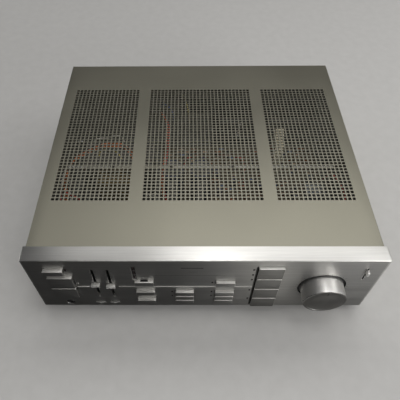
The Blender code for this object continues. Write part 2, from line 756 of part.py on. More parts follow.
def rear_fitting(name, columns, top, depth, neck_y, edge=0.0):
    """Block on the rear panel's outside with a neck through it; edge chamfers its outer face."""
    x0, x1 = columns
    x, z = (x0 + x1) / 2, down((top + FITTING_BOTTOM) / 2)
    half_w, half_h = (x1 - x0) / 2, (FITTING_BOTTOM - top) / 2
    outer, inner = REAR_Y1 + depth, REAR_Y1 + GAP
    neck = (half_w - NECK_INSET_X, half_h - NECK_INSET_Z)
    chamfer = [(outer, half_w - edge, half_h - edge)] if edge else []
    mesh = stepped(bmesh.new(), x, z, chamfer + [
        (outer - edge, half_w, half_h),
        (inner, half_w, half_h),
        (inner, *neck),
        (neck_y, *neck),
    ])
    return piece(name, mesh, (x, outer, z), BLACK_PLASTIC)


def socket_grid(mesh, columns, count, margin, rows, stations):
    """Rows of turned bodies evenly spaced between margins; rows are distances down."""
    x0, x1 = columns
    for column in range(count):
        x = x0 + margin + column * (x1 - x0 - 2 * margin) / (count - 1)
        for row_down in rows:
            turned(mesh, ALONG_Y, (x, down(row_down)), stations, 10)


def input_jack_panel():
    """Insulated plate with two rows of phono sockets, through an opening in the rear panel."""
    depth = 2.6
    outer = REAR_Y1 + depth
    panel = rear_fitting("input_jack_panel", INPUTS_X, INPUTS_TOP, depth, REAR_Y0 - 5.0)

    def sockets(added):
        stations = [(outer - 1.0, 4.2), (outer + 8.5, 4.2)]
        socket_grid(added, INPUTS_X, 6, 14.0, (48.0, 82.0), stations)

    join(panel, "add_sockets", sockets)


def speaker_terminals():
    """Chamfered block with two rows of round terminal caps."""
    depth = 9.0
    outer = REAR_Y1 + depth
    terminals = rear_fitting(
        "speaker_terminal_block", TERMINALS_X, TERMINALS_TOP, depth, REAR_Y0 - 4.0, edge=1.0
    )

    def caps(added):
        stations = [(outer - 1.5, 6.2), (outer + 8.0, 6.2), (outer + 9.0, 5.2)]
        socket_grid(added, TERMINALS_X, 4, 12.0, (70.5, 89.5), stations)

    join(terminals, "add_terminal_caps", caps)


def strain_relief():
    """Flanged bushing round the cord, tapering outside the rear panel."""
    bore_r = CORD_R + GAP
    outline = [
        (REAR_Y0 - 6.0, bore_r), (REAR_Y0 - 6.0, 6.0), (REAR_Y0 - GAP, 6.6),
        (REAR_Y1 + GAP, 6.6), (REAR_Y1 + GAP, 9.4), (REAR_Y1 + 2.4, 9.4),
        (REAR_Y1 + 2.4, 7.0), (REAR_Y1 + 9.0, 5.2), (REAR_Y1 + 9.0, bore_r),
    ]
    mesh = turned(bmesh.new(), ALONG_Y, RELIEF_AXIS, outline, 14, closed=True)
    origin = (RELIEF_AXIS[0], REAR_Y1, RELIEF_AXIS[1])
    piece("cord_strain_relief", mesh, origin, BLACK_PLASTIC, smooth=True)


# ---------------------------------------------------------------- mains cord
CORD_SIDES = 8
CORD_EXIT_Y = (352.0, 360.0, 368.0, 374.0)  # straight stations through the strain relief
COIL_PITCH = 2 * CORD_R + 0.7  # between neighbouring turns, along Y
COIL_Y = CORD_Y_MAX - CORD_R  # centreline of the outermost turn
COIL_HALF_H, COIL_HALF_L = 27.0, 50.0
COIL_X = RELIEF_AXIS[0] + 4.0 + COIL_HALF_L
COIL_Z = 0.4 + CORD_R + COIL_HALF_H  # the lowest strands clear the table by 0.4
COIL_STRAIGHT = 2 * (COIL_HALF_L - COIL_HALF_H)
COIL_ARC = math.pi * COIL_HALF_H
COIL_TURN = 2 * COIL_STRAIGHT + 2 * COIL_ARC
COIL_STEPS = 84

# distance past the cord's end, half width, half thickness: neck, shoulders, body, flat face
PLUG = (
    (1.0, 4.2, 4.2), (8.0, 5.0, 5.0), (10.0, 8.6, 6.2),
    (14.0, 11.0, 6.6), (30.0, 11.0, 6.6), (31.5, 10.0, 5.8),
)


def coil_point(distance):
    """x, z on a turn: down the left end, along the floor, up the right end, back along the top."""
    distance %= COIL_TURN
    half = COIL_STRAIGHT / 2

    def end_point(middle_x, angle):
        x = middle_x + COIL_HALF_H * math.cos(angle)
        return x, COIL_Z + COIL_HALF_H * math.sin(angle)

    if distance < COIL_ARC:
        return end_point(COIL_X - half, math.pi / 2 + distance / COIL_HALF_H)
    distance -= COIL_ARC
    if distance < COIL_STRAIGHT:
        return COIL_X - half + distance, COIL_Z - COIL_HALF_H
    distance -= COIL_STRAIGHT
    if distance < COIL_ARC:
        return end_point(COIL_X + half, -math.pi / 2 + distance / COIL_HALF_H)
    distance -= COIL_ARC
    return COIL_X + half - distance, COIL_Z + COIL_HALF_H


def cord_path():
    """Out of the strain relief, bent down, two and a half turns towards the rear panel, plug end."""
    x, z = RELIEF_AXIS
    points = [Vector((x, y, z)) for y in CORD_EXIT_Y]
    bend_y = CORD_EXIT_Y[-1]
    bend_r = COIL_Y - bend_y
    for i in range(1, 7):
        angle = math.radians(90.0 * i / 6)
        drop = bend_r * (1 - math.cos(angle))
        points.append(Vector((x, bend_y + bend_r * math.sin(angle), z - drop)))
    # the coil starts where the left end runs straight down
    start = COIL_ARC * 0.5
    length = 2.5 * COIL_TURN
    for i in range(1, COIL_STEPS + 1):
        along = length * i / COIL_STEPS
        coil_x, coil_z = coil_point(start + along)
        points.append(Vector((coil_x, COIL_Y - COIL_PITCH * along / COIL_TURN, coil_z)))
    # the free end climbs to the plug
    last = points[-1]
    for i in range(1, 5):
        points.append(last + i * Vector((0.6, 0.9, 5.0)))
    return points


def cord_axes(tangent, side):
    """Two unit vectors across the cord, the first kept as near as possible to the last side."""
    side = (side - tangent * side.dot(tangent)).normalized()
    return side, tangent.cross(side)


def cord_ring(centre, side, up, half_side, half_up):
    ring = []
    for k in range(CORD_SIDES):
        angle = 2 * math.pi * k / CORD_SIDES
        across = side * (half_side * math.cos(angle))
        ring.append(centre + across + up * (half_up * math.sin(angle)))
    return ring


def mains_cord():
    """Round cord swept along its path, with the plug moulded on its end."""
    points = cord_path()
    final = len(points) - 1
    rings = []
    side = Vector((1.0, 0.0, 0.0))
    for i, point in enumerate(points):
        tangent = (points[min(i + 1, final)] - points[max(i - 1, 0)]).normalized()
        side, up = cord_axes(tangent, side)
        rings.append(cord_ring(point, side, up, CORD_R, CORD_R))
    tangent = (points[-1] - points[-2]).normalized()
    side, up = cord_axes(tangent, side)
    for along, half_w, half_t in PLUG:
        rings.append(cord_ring(points[-1] + tangent * along, side, up, half_w, half_t))
    origin = (RELIEF_AXIS[0], REAR_Y1, RELIEF_AXIS[1])
    piece("mains_cord", loft(bmesh.new(), rings), origin, BLACK_PLASTIC, smooth=True)


# ---------------------------------------------------------------- inside
def transformer():
    """Laminated core with two windows, and a winding round its middle leg."""
    x, y0, y1 = -120.0, 176.0, 222.0
    middle_y = (y0 + y1) / 2
    z0 = FLOOR_TOP + 0.4
    z1 = z0 + 80.0
    half_w, half_leg, window_w, yoke = 50.0, 16.5, 17.0, 15.0
    window_z0, window_z1 = z0 + yoke, z1 - yoke
    window_edge = half_leg + window_w
    mesh = block(bmesh.new(), x - half_w, x + half_w, y0, y1, z0, z1)
    core = piece("power_transformer_core", mesh, (x, middle_y, z0), LAMINATION)

    def windows(cutter):
        for x0, x1 in ((x - window_edge, x - half_leg), (x + half_leg, x + window_edge)):
            block(cutter, x0, x1, y0 - 5, y1 + 5, window_z0, window_z1)

    cut(core, "cut_core_windows", windows)

    coil_half = window_edge - GAP
    overhang = 19  # of the winding before and behind the core
    mesh = block(
        bmesh.new(), x - coil_half, x + coil_half, y0 - overhang, y1 + overhang,
        window_z0 + GAP, window_z1 - GAP,
    )
    origin = (x, middle_y, (window_z0 + window_z1) / 2)
    coil = piece("power_transformer_coil", mesh, origin, COIL_TAPE)
    bevel = coil.modifiers.new("rounded_winding", "BEVEL")
    bevel.width = 6 * MM
    bevel.segments = 3
    bevel.limit_method = "NONE"

    def leg(cutter):
        half = half_leg + GAP
        block(cutter, x - half, x + half, y0 - GAP, y1 + GAP, window_z0 - 5, window_z1 + 5)

    cut(coil, "cut_coil_leg", leg)


BOARD_T = 1.6
BOARD_TOP = FLOOR_TOP + 10.0  # upper face of the main board


def main_board():
    x0, x1, y0, y1 = -64.0, 192.0, 152.0, 284.0
    mesh = block(bmesh.new(), x0, x1, y0, y1, BOARD_TOP - BOARD_T, BOARD_TOP)
    origin = ((x0 + x1) / 2, (y0 + y1) / 2, BOARD_TOP)
    piece("main_amplifier_board", mesh, origin, BOARD)


def equalizer_board():
    """Upright board behind the heat sink, before the input sockets."""
    x0, x1, y0 = 66.0, 190.0, 350.0
    mesh = block(bmesh.new(), x0, x1, y0, y0 + BOARD_T, FLOOR_Z + 6.0, down(28.0))
    piece("equalizer_board", mesh, ((x0 + x1) / 2, y0, down(60.0)), BOARD)


def speaker_relay():
    x0, x1, y0, y1 = 158.0, 186.0, 160.0, 180.0
    mesh = block(bmesh.new(), x0, x1, y0, y1, BOARD_TOP + GAP, BOARD_TOP + 26.0)
    piece("speaker_relay", mesh, ((x0 + x1) / 2, (y0 + y1) / 2, BOARD_TOP), RELAY)


def filter_capacitors():
    """Two upright cans with a groove below the top and a shallow recess in it."""
    y, radius, height = 178.0, 17.5, 62.0
    z0 = BOARD_TOP + GAP
    profile = [  # height above the can's foot, radius
        (0.0, radius - 1.0), (1.0, radius),
        (height - 5.0, radius), (height - 4.0, radius - 0.8), (height - 3.0, radius),
        (height - 0.8, radius), (height, radius - 0.8),
        (height, radius - 2.4), (height - 0.8, radius - 2.8),
    ]
    stations = [(z0 + z, ring_r) for z, ring_r in profile]
    for side, x in (("left", -42.0), ("right", 0.0)):
        mesh = turned(bmesh.new(), ALONG_Z, (x, y), stations, 20)
        piece("filter_capacitor_" + side, mesh, (x, y, z0), CAPACITOR_SLEEVE, smooth=True)


SINK_Y = 294.0  # front face of the heat sink


def heat_sink():
    """Extruded comb: a thick plate in front with upright fins towards the rear."""
    x0, pitch, count, thick = 22.0, 10.0, 17, 2.2
    root_y, tip_y = SINK_Y + 5.0, 343.0
    z0, z1 = FLOOR_TOP + 3.2, down(14.0)
    outline = [(x0, SINK_Y), (x0 + (count - 1) * pitch + thick, SINK_Y)]
    for k in reversed(range(count)):
        left = x0 + k * pitch
        right = left + thick
        if k < count - 1:
            outline.append((right, root_y))
        outline += [(right, tip_y), (left, tip_y)]
        if k > 0:
            outline.append((left, root_y))
    mesh = extruded(bmesh.new(), ALONG_Z, outline, z0, z1)
    piece("heat_sink", mesh, (x0, SINK_Y, z0), HEAT_SINK)


def output_modules():
    """Two blocks on the heat sink's front face, tapering forwards."""
    half_w, z0, z1 = 32.0, down(92.0), down(50.0)
    half_h = (z1 - z0) / 2
    for side, x in (("left", 66.0), ("right", 144.0)):
        mesh = stepped(bmesh.new(), x, (z0 + z1) / 2, [
            (SINK_Y - GAP, half_w, half_h),
            (SINK_Y - 3.0, half_w, half_h),
            (SINK_Y - 9.5, half_w - 5, half_h - 4),
        ])
        piece("output_module_" + side, mesh, (x, SINK_Y, z0), BLACK_PLASTIC)


# ---------------------------------------------------------------- build
faceplate()
for button_name, button_layout in BUTTONS.items():
    push_button(button_name, button_layout)
for tone_name in TONES:
    tone_slider_knob(tone_name)
    turnover_knob(tone_name)
    slide_pot(tone_name)
balance_knob()
volume_knob()
volume_shaft()
volume_pot()
front_subpanel()
power_switch()
selector_switch_bank()
control_board()
headphone_jack()
indicator_window()
top_cover()
cover_screws()
base_chassis()
feet()
crossbrace()
rear_panel()
input_jack_panel()
speaker_terminals()
strain_relief()
mains_cord()
transformer()
main_board()
equalizer_board()
speaker_relay()
filter_capacitors()
heat_sink()
output_modules()
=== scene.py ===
"""Stereo amplifier: brushed faceplate, pierced painted cover, sockets and a coiled cord behind.

Shapes are written in millimetres: x to the right seen from the front, y from the faceplate's lip
to the rear, z up from the table. The main sizes are read from the boxes of the CAD pieces.
"""
import math
import random
from typing import NamedTuple

import bmesh
import bpy
from mathutils import Matrix, Vector


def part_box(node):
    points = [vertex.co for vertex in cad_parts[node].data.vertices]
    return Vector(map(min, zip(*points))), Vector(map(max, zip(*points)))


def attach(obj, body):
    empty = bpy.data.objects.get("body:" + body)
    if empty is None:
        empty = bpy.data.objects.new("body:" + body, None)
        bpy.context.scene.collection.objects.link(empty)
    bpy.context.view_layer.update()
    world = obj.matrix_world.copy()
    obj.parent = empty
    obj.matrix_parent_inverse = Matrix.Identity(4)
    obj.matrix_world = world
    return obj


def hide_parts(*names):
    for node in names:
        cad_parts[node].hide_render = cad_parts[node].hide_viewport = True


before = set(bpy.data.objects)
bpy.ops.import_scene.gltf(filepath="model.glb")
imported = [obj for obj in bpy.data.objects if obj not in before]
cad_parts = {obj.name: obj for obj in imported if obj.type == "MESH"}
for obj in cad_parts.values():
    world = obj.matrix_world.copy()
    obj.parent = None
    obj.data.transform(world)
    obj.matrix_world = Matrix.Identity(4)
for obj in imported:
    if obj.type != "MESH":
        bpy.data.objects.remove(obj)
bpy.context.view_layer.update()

# ---------------------------------------------------------------------------------------------
# Units and the boxes of the CAD pieces
# ---------------------------------------------------------------------------------------------
MM = 0.001
LIP_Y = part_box("faceplate")[0].y * 1000.0  # where the lip lies in the CAD frame


class Box(NamedTuple):
    x0: float
    x1: float
    y0: float
    y1: float
    z0: float
    z1: float

    @property
    def mid_x(self):
        return (self.x0 + self.x1) / 2

    @property
    def mid_y(self):
        return (self.y0 + self.y1) / 2

    @property
    def mid_z(self):
        return (self.z0 + self.z1) / 2


def cad_box(node):
    lo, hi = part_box(node)
    return Box(lo.x * 1000, hi.x * 1000, lo.y * 1000 - LIP_Y, hi.y * 1000 - LIP_Y,
               lo.z * 1000, hi.z * 1000)


def to_metres(point):
    return (point[0] * MM, (point[1] + LIP_Y) * MM, point[2] * MM)


FACE = cad_box("faceplate")
FACE_Y = 0.4  # the front surface, just behind the lip
PLATE_Y = 5.2  # the faceplate's rear surface
VOLUME = cad_box("volume_knob")
VOLUME_AXIS = (VOLUME.mid_x, VOLUME.mid_z)
WELL_R = 29.3  # recess round the volume knob
BALANCE = cad_box("balance_slider_knob")
WINDOW = cad_box("indicator_window")
JACK = cad_box("headphone_jack")
JACK_AXIS = (JACK.mid_x, JACK.mid_z)
TURNOVERS = {kind: cad_box(kind + "_turnover_knob") for kind in ("bass", "treble")}
COVER_BOX = cad_box("top_cover")
REAR = cad_box("rear_panel")
INPUTS = cad_box("input_jack_panel")
TERMINALS = cad_box("speaker_terminal_block")
RELIEF = cad_box("cord_strain_relief")
RELIEF_AXIS = (RELIEF.mid_x, RELIEF.mid_z)


def down(distance):
    """Height of a point this far below the faceplate's top."""
    return FACE.z1 - distance


# Slots of the tone sliders: centre x, bottom, top
SLIDERS = {kind: (cad_box(kind + "_slider_knob").mid_x, down(91.5), down(21.5))
           for kind in ("bass", "treble")}

SELECTORS = ["selector_phono_button", "selector_tuner_button", "selector_auxiliary_button",
             "selector_direct_button"]
SMALL = ["muting_button", "subsonic_filter_button", "loudness_button", "mode_button",
         "cartridge_button", "dubbing_button", "adaptor_button", "tape_1_button",
         "tape_2_button", "tape_copy_button"]
SPEAKERS = ["speaker_a_button", "speaker_b_button"]
STOP = 1.2  # how far a button's side stops reach past its cap
PLAY = 0.5  # gap between a cap and its opening


def cap_box(node):
    """Box of a button without its side stops."""
    box = cad_box(node)
    return box._replace(x0=box.x0 + STOP, x1=box.x1 - STOP)


def group_box(nodes):
    caps = [cap_box(node) for node in nodes]
    return caps[0]._replace(x0=min(c.x0 for c in caps), x1=max(c.x1 for c in caps),
                            z0=min(c.z0 for c in caps), z1=max(c.z1 for c in caps))


# ---------------------------------------------------------------------------------------------
# Material tools
# ---------------------------------------------------------------------------------------------
def tint(colour, factors):
    """Colour times one factor, or times one for each channel, held below 1."""
    if not isinstance(factors, tuple):
        factors = (factors,) * 3
    return tuple(min(1.0, c * f) for c, f in zip(colour, factors))


class Look:
    """Node material around one Principled BSDF. Helpers add nodes and give their output."""

    def __init__(self, name):
        self.material = bpy.data.materials.new(name)
        self.material.use_nodes = True
        self.tree = self.material.node_tree
        self.tree.nodes.clear()
        self.shader = self.node("BsdfPrincipled")
        self.output = self.node("OutputMaterial", {0: self.shader.outputs[0]})
        self.place = self.node("TexCoord").outputs["Object"]

    def put(self, socket, value):
        if isinstance(value, bpy.types.NodeSocket):
            self.tree.links.new(value, socket)
            return
        if isinstance(value, tuple) and len(value) == 3 and len(socket.default_value) == 4:
            value = (*value, 1.0)
        socket.default_value = value

    def node(self, kind, inputs=None, **settings):
        made = self.tree.nodes.new("ShaderNode" + kind)
        for key, value in settings.items():
            setattr(made, key, value)
        for key, value in (inputs or {}).items():
            self.put(made.inputs[key], value)
        return made

    def finish(self, **inputs):
        for key, value in inputs.items():
            self.put(self.shader.inputs[key.replace("_", " ")], value)
        return self.material

    def vector(self, operation, *values):
        return self.node("VectorMath", dict(enumerate(values)), operation=operation).outputs[0]

    def calc(self, operation, *values, clamp=False):
        return self.node("Math", dict(enumerate(values)), operation=operation,
                         use_clamp=clamp).outputs[0]

    def add(self, first, second):
        return self.calc("ADD", first, second)

    def times(self, first, second, clamp=False):
        return self.calc("MULTIPLY", first, second, clamp=clamp)

    def weigh(self, first, second, share):
        """Sum in which the first counts by share and the second by the rest."""
        return self.add(self.times(first, share), self.times(second, 1 - share))

    def length(self, first, second):
        squares = self.add(self.times(first, first), self.times(second, second))
        return self.calc("SQRT", squares)

    def split(self, vector):
        return self.node("SeparateXYZ", {0: vector}).outputs

    def join(self, x, y, z):
        return self.node("CombineXYZ", {0: x, 1: y, 2: z}).outputs[0]

    def spot(self, stretch):
        """Texture place, multiplied by stretch along x, y and z if given."""
        return self.vector("MULTIPLY", self.place, stretch) if stretch else self.place

    def noise(self, scale=1.0, detail=3.0, rough=0.5, distortion=0.0, stretch=None, at=None):
        inputs = {"Scale": scale, "Detail": detail, "Roughness": rough,
                  "Distortion": distortion, "Vector": at or self.spot(stretch)}
        return self.node("TexNoise", inputs).outputs["Fac"]

    def voronoi(self, scale, feature="F1", stretch=None):
        inputs = {"Scale": scale, "Vector": self.spot(stretch)}
        return self.node("TexVoronoi", inputs, feature=feature).outputs[0]

    def wave(self, scale, direction, stretch, distortion=0.0):
        inputs = {"Scale": scale, "Distortion": distortion, "Vector": self.spot(stretch)}
        return self.node("TexWave", inputs, wave_type="BANDS",
                         bands_direction=direction).outputs["Fac"]

    def remap(self, value, span, to=(0.0, 1.0)):
        inputs = {"Value": value, "From Min": span[0], "From Max": span[1],
                  "To Min": to[0], "To Max": to[1]}
        return self.node("MapRange", inputs).outputs[0]

    def mix(self, factor, first, second):
        inputs = {"Factor": factor, 6: first, 7: second}
        return self.node("Mix", inputs, data_type="RGBA").outputs[2]

    def shade(self, pattern, span, first, second, to=(0.0, 1.0)):
        """Colour from first to second as the pattern runs over span."""
        return self.mix(self.remap(pattern, span, to), first, second)

    def ramp(self, factor, stops):
        made = self.node("ValToRGB", {0: factor})
        elements = made.color_ramp.elements
        while len(elements) < len(stops):
            elements.new(0.5)
        for element, (position, colour) in zip(elements, stops):
            element.position = position
            element.color = (*colour, 1.0)
        return made.outputs[0]

    def bump(self, height, depth):
        """Bump with its depth in metres."""
        return self.node("Bump", {"Distance": depth, "Height": height}).outputs[0]


MID = (0.3, 0.7)  # the part of a noise's range in which nearly all of it lies


def brushed(name, colour, rough, grain="x", aniso=0.8, streak=0.05, front_rough=None,
            depth=1.2e-5):
    """Brushed metal. The grain runs along x, y or z; highlights spread across it."""
    look = Look(name)
    axis = "xyz".index(grain)

    def grained(across, along):
        return tuple(along if i == axis else across for i in range(3))

    coarse = look.noise(rough=0.6, stretch=grained(across=420.0, along=7.0))
    hair = look.noise(detail=2.0, rough=0.6, stretch=grained(across=2300.0, along=28.0))
    cloud = look.noise(scale=16.0, detail=4.0, rough=0.55)
    smear = look.noise(scale=38.0, detail=5.0, rough=0.6, distortion=0.6,
                       stretch=(1.0, 2.2, 2.2))
    lines = look.weigh(coarse, hair, share=0.5)
    base = look.shade(lines, (0.34, 0.66), tint(colour, 1 - 2.4 * streak),
                      tint(colour, 1 + 1.6 * streak))
    base = look.shade(cloud, (0.35, 0.75), base, tint(colour, (0.86, 0.84, 0.80)),
                      to=(0.0, 0.10))
    roughness = look.add(look.remap(lines, MID, to=(rough - 0.05, rough + 0.06)),
                         look.remap(smear, (0.5, 0.8), to=(0.0, 0.05)))
    if front_rough is not None:
        # extra roughness on faces that look to the front
        normal_y = look.split(look.node("NewGeometry").outputs["Normal"])[1]
        facing = look.calc("LESS_THAN", normal_y, -0.9)
        roughness = look.add(roughness, look.times(facing, front_rough))
    return look.finish(Base_Color=base, Metallic=1.0, Roughness=roughness, Anisotropic=aniso,
                       Tangent=look.join(*grained(across=1.0, along=0.013)),
                       Normal=look.bump(lines, depth))


def turned(name, colour, rough, aniso, streak):
    """Metal turned about the volume knob's axis: rings on its face, lines round its side."""
    look = Look(name)
    axis = to_metres((VOLUME_AXIS[0], 0, VOLUME_AXIS[1]))
    x, y, z = look.split(look.vector("ADD", look.place, tuple(-c for c in axis)))
    radius = look.length(x, z)
    angle = look.calc("ARCTAN2", z, x)

    def marks(density, drift, noise_rough):
        """Turning marks; drift is how fast they change round the axis."""
        at = look.join(look.times(radius, density), look.times(y, density),
                       look.times(angle, drift))
        return look.noise(detail=2.0, rough=noise_rough, at=at)

    fine = marks(density=2600.0, drift=0.8, noise_rough=0.6)
    coarse = marks(density=520.0, drift=0.5, noise_rough=0.5)
    lines = look.weigh(fine, coarse, share=0.6)
    smear = look.noise(scale=60.0, detail=4.0, rough=0.6, distortion=0.4)
    base = look.shade(lines, (0.34, 0.66), tint(colour, 1 - 2 * streak),
                      tint(colour, 1 + 1.5 * streak))
    roughness = look.add(look.remap(lines, MID, to=(rough - 0.02, rough + 0.03)),
                         look.remap(smear, (0.5, 0.8), to=(0.0, 0.04)))
    # across the turning marks: out from the axis on the face, along y on the side
    tangent = look.vector("NORMALIZE", look.join(x, 0.012, z))
    return look.finish(Base_Color=base, Metallic=1.0, Roughness=roughness, Anisotropic=aniso,
                       Normal=look.bump(lines, 3e-6), Tangent=tangent)


def paint(name, colour, rough, metallic, wear=None):
    """Sprayed paint: orange peel, faint cloudiness, dust in the low roughness."""
    look = Look(name)
    peel = look.noise(scale=1100.0, detail=2.0)
    cloud = look.noise(scale=9.0, detail=5.0, rough=0.55)
    speck = look.noise(scale=2600.0, detail=2.0, rough=0.7)
    base = look.shade(cloud, (0.35, 0.7), tint(colour, 0.965), tint(colour, 1.03))
    base = look.shade(speck, (0.40, 0.62), base, tint(colour, 1.06))
    roughness = look.add(look.remap(peel, MID, to=(rough - 0.04, rough + 0.04)),
                         look.remap(cloud, MID, to=(-0.03, 0.03)))
    if wear is not None:
        mask = wear(look)
        base = look.mix(mask, base, (0.62, 0.61, 0.58))  # bare metal
        metallic = look.remap(mask, (0, 1), to=(metallic, 0.9))
    height = look.add(peel, look.times(speck, 0.3))
    return look.finish(Base_Color=base, Metallic=metallic, Roughness=roughness,
                       Coat_Roughness=0.25, Normal=look.bump(height, 1.2e-5))


def cover_wear(look):
    """Thin paint along the cover's two upper folds, broken up."""
    x, _, z = look.split(look.place)
    side, top = COVER_BOX.x1, COVER_BOX.z1
    along = look.remap(look.calc("ABSOLUTE", x), ((side - 1.1) * MM, (side - 0.5) * MM))
    high = look.remap(z, ((top - 1.0) * MM, (top - 0.6) * MM))
    patches = look.noise(scale=130.0, detail=4.0, rough=0.7, stretch=(1.0, 1.0, 1.0))
    broken = look.remap(patches, (0.56, 0.66), to=(0.0, 0.75))
    return look.times(look.times(along, high, clamp=True), broken, clamp=True)


def plastic(name, colour, rough, grain=1400.0, depth=3e-5, dust=0.03, specular=0.5):
    """Moulded plastic with a fine spark texture and a little dust."""
    look = Look(name)
    spark = look.noise(scale=grain, rough=0.6)
    cloud = look.noise(scale=45.0, detail=4.0, rough=0.6)
    dusty = tuple(min(1.0, c * 1.25 + dust * 0.4) for c in colour)
    base = look.shade(cloud, (0.35, 0.75), colour, dusty)
    base = look.shade(spark, (0.52, 0.72), base, (0.5, 0.48, 0.45), to=(0.0, dust))
    roughness = look.add(look.remap(spark, MID, to=(rough - 0.06, rough + 0.07)),
                         look.remap(cloud, MID, to=(-0.03, 0.05)))
    return look.finish(Base_Color=base, Roughness=roughness, Normal=look.bump(spark, depth),
                       Specular_IOR_Level=specular)


def zinc(name, colour, rough):
    """Zinc-plated sheet: soft spangle, a yellowish passivation bloom, rolling lines."""
    look = Look(name)
    cell = look.voronoi(scale=210.0, stretch=(1.0, 1.4, 1.0))
    roll = look.noise(detail=2.0, rough=0.6, stretch=(30.0, 900.0, 900.0))
    bloom = look.noise(scale=22.0, detail=5.0, rough=0.6, distortion=0.5)
    base = look.shade(bloom, (0.38, 0.72), colour, tint(colour, (0.93, 0.88, 0.74)))
    base = look.shade(cell, (0.1, 0.9), base, (0.82, 0.81, 0.78), to=(0.0, 0.22))
    roughness = look.add(look.remap(roll, MID, to=(rough - 0.05, rough + 0.06)),
                         look.remap(bloom, MID, to=(-0.02, 0.06)))
    return look.finish(Base_Color=base, Metallic=0.9, Roughness=roughness,
                       Normal=look.bump(roll, 1.2e-5))


def satin(name, colour, rough):
    """Blasted, clear-coated light metal: even sparkle, faint handling marks."""
    look = Look(name)
    grit = look.noise(scale=5200.0, detail=2.0, rough=0.6)
    middle = look.noise(scale=900.0)
    cloud = look.noise(scale=70.0, detail=4.0, rough=0.6, distortion=0.3)
    line = look.noise(detail=2.0, rough=0.6, stretch=(25.0, 1600.0, 1600.0))
    base = look.shade(grit, (0.35, 0.65), tint(colour, 0.93), tint(colour, 1.05))
    base = look.shade(cloud, (0.45, 0.8), base, tint(colour, (0.80, 0.78, 0.73)),
                      to=(0.0, 0.14))
    roughness = look.add(look.remap(middle, MID, to=(rough - 0.04, rough + 0.04)),
                         look.remap(cloud, (0.4, 0.8), to=(0.0, 0.07)))
    height = look.weigh(grit, line, share=0.7)
    return look.finish(Base_Color=base, Metallic=1.0, Roughness=roughness,
                       Normal=look.bump(height, 1e-5))


def smoked(name, colour, rough=0.08):
    """Smoked acrylic: glossy, a little dusty, hairline scratches."""
    look = Look(name)
    dust = look.noise(scale=700.0, detail=4.0, rough=0.7)
    hair = look.noise(detail=2.0, rough=0.6, stretch=(900.0, 900.0, 40.0))
    base = look.shade(dust, (0.5, 0.75), colour, (0.16, 0.15, 0.14), to=(0.0, 0.10))
    roughness = look.add(look.remap(hair, MID, to=(rough, rough + 0.08)),
                         look.remap(dust, (0.5, 0.8), to=(0.0, 0.12)))
    return look.finish(Base_Color=base, Roughness=roughness, Coat_Weight=0.5,
                       Coat_Roughness=0.05, Normal=look.bump(hair, 3e-6))


def laminations():
    """Stacked core plates: fine dark and light edges across y, with rusty patches."""
    look = Look("core_laminations")
    plates = look.wave(scale=310.0, direction="Y", stretch=(0.0, 1.0, 0.0))
    rust = look.noise(scale=90.0, detail=5.0, rough=0.65, distortion=0.4)
    base = look.shade(plates, (0.2, 0.8), (0.055, 0.052, 0.050), (0.15, 0.145, 0.135))
    base = look.shade(rust, (0.55, 0.75), base, (0.17, 0.085, 0.045), to=(0.0, 0.55))
    return look.finish(Base_Color=base, Metallic=0.55, Normal=look.bump(plates, 8e-5),
                       Roughness=look.remap(rust, MID, to=(0.38, 0.62)))


def coil_tape():
    """Varnished amber tape wound round the coil, its turns overlapping."""
    look = Look("coil_winding_tape")
    turns = look.wave(scale=42.0, direction="Z", distortion=0.4, stretch=(0.35, 0.0, 1.0))
    soft = look.noise(scale=120.0, detail=4.0, rough=0.6, distortion=0.3)
    base = look.shade(turns, (0.1, 0.9), (0.19, 0.12, 0.030), (0.27, 0.185, 0.055))
    base = look.shade(soft, (0.45, 0.7), base, (0.13, 0.075, 0.02), to=(0.0, 0.45))
    return look.finish(Base_Color=base, Roughness=look.remap(soft, MID, to=(0.22, 0.42)),
                       Coat_Weight=0.35, Coat_Roughness=0.15, Normal=look.bump(turns, 2.5e-4))


def phenolic_board():
    """Mottled brown board, a ghost of the copper tracks showing through."""
    look = Look("phenolic_board")
    paper = look.noise(scale=420.0, detail=4.0, rough=0.65, stretch=(1.0, 1.0, 1.0))
    tracks = look.voronoi(scale=120.0, feature="DISTANCE_TO_EDGE")
    base = look.shade(paper, (0.35, 0.65), (0.075, 0.048, 0.020), (0.11, 0.072, 0.030))
    base = look.shade(tracks, (0.04, 0.10), base, (0.045, 0.028, 0.010), to=(0.35, 0.0))
    return look.finish(Base_Color=base, Roughness=look.remap(paper, MID, to=(0.42, 0.60)),
                       Normal=look.bump(paper, 2e-5))


def capacitor_sleeve():
    """Shrunk dark blue sleeve of an electrolytic can."""
    look = Look("capacitor_sleeve")
    soft = look.noise(scale=200.0)
    creases = look.noise(scale=260.0, detail=2.0, stretch=(1.0, 1.0, 0.2))
    base = look.shade(soft, (0.35, 0.65), (0.022, 0.030, 0.070), (0.030, 0.042, 0.095))
    return look.finish(Base_Color=base, Roughness=look.remap(soft, MID, to=(0.22, 0.36)),
                       Coat_Weight=0.3, Coat_Roughness=0.2, Normal=look.bump(creases, 8e-5))


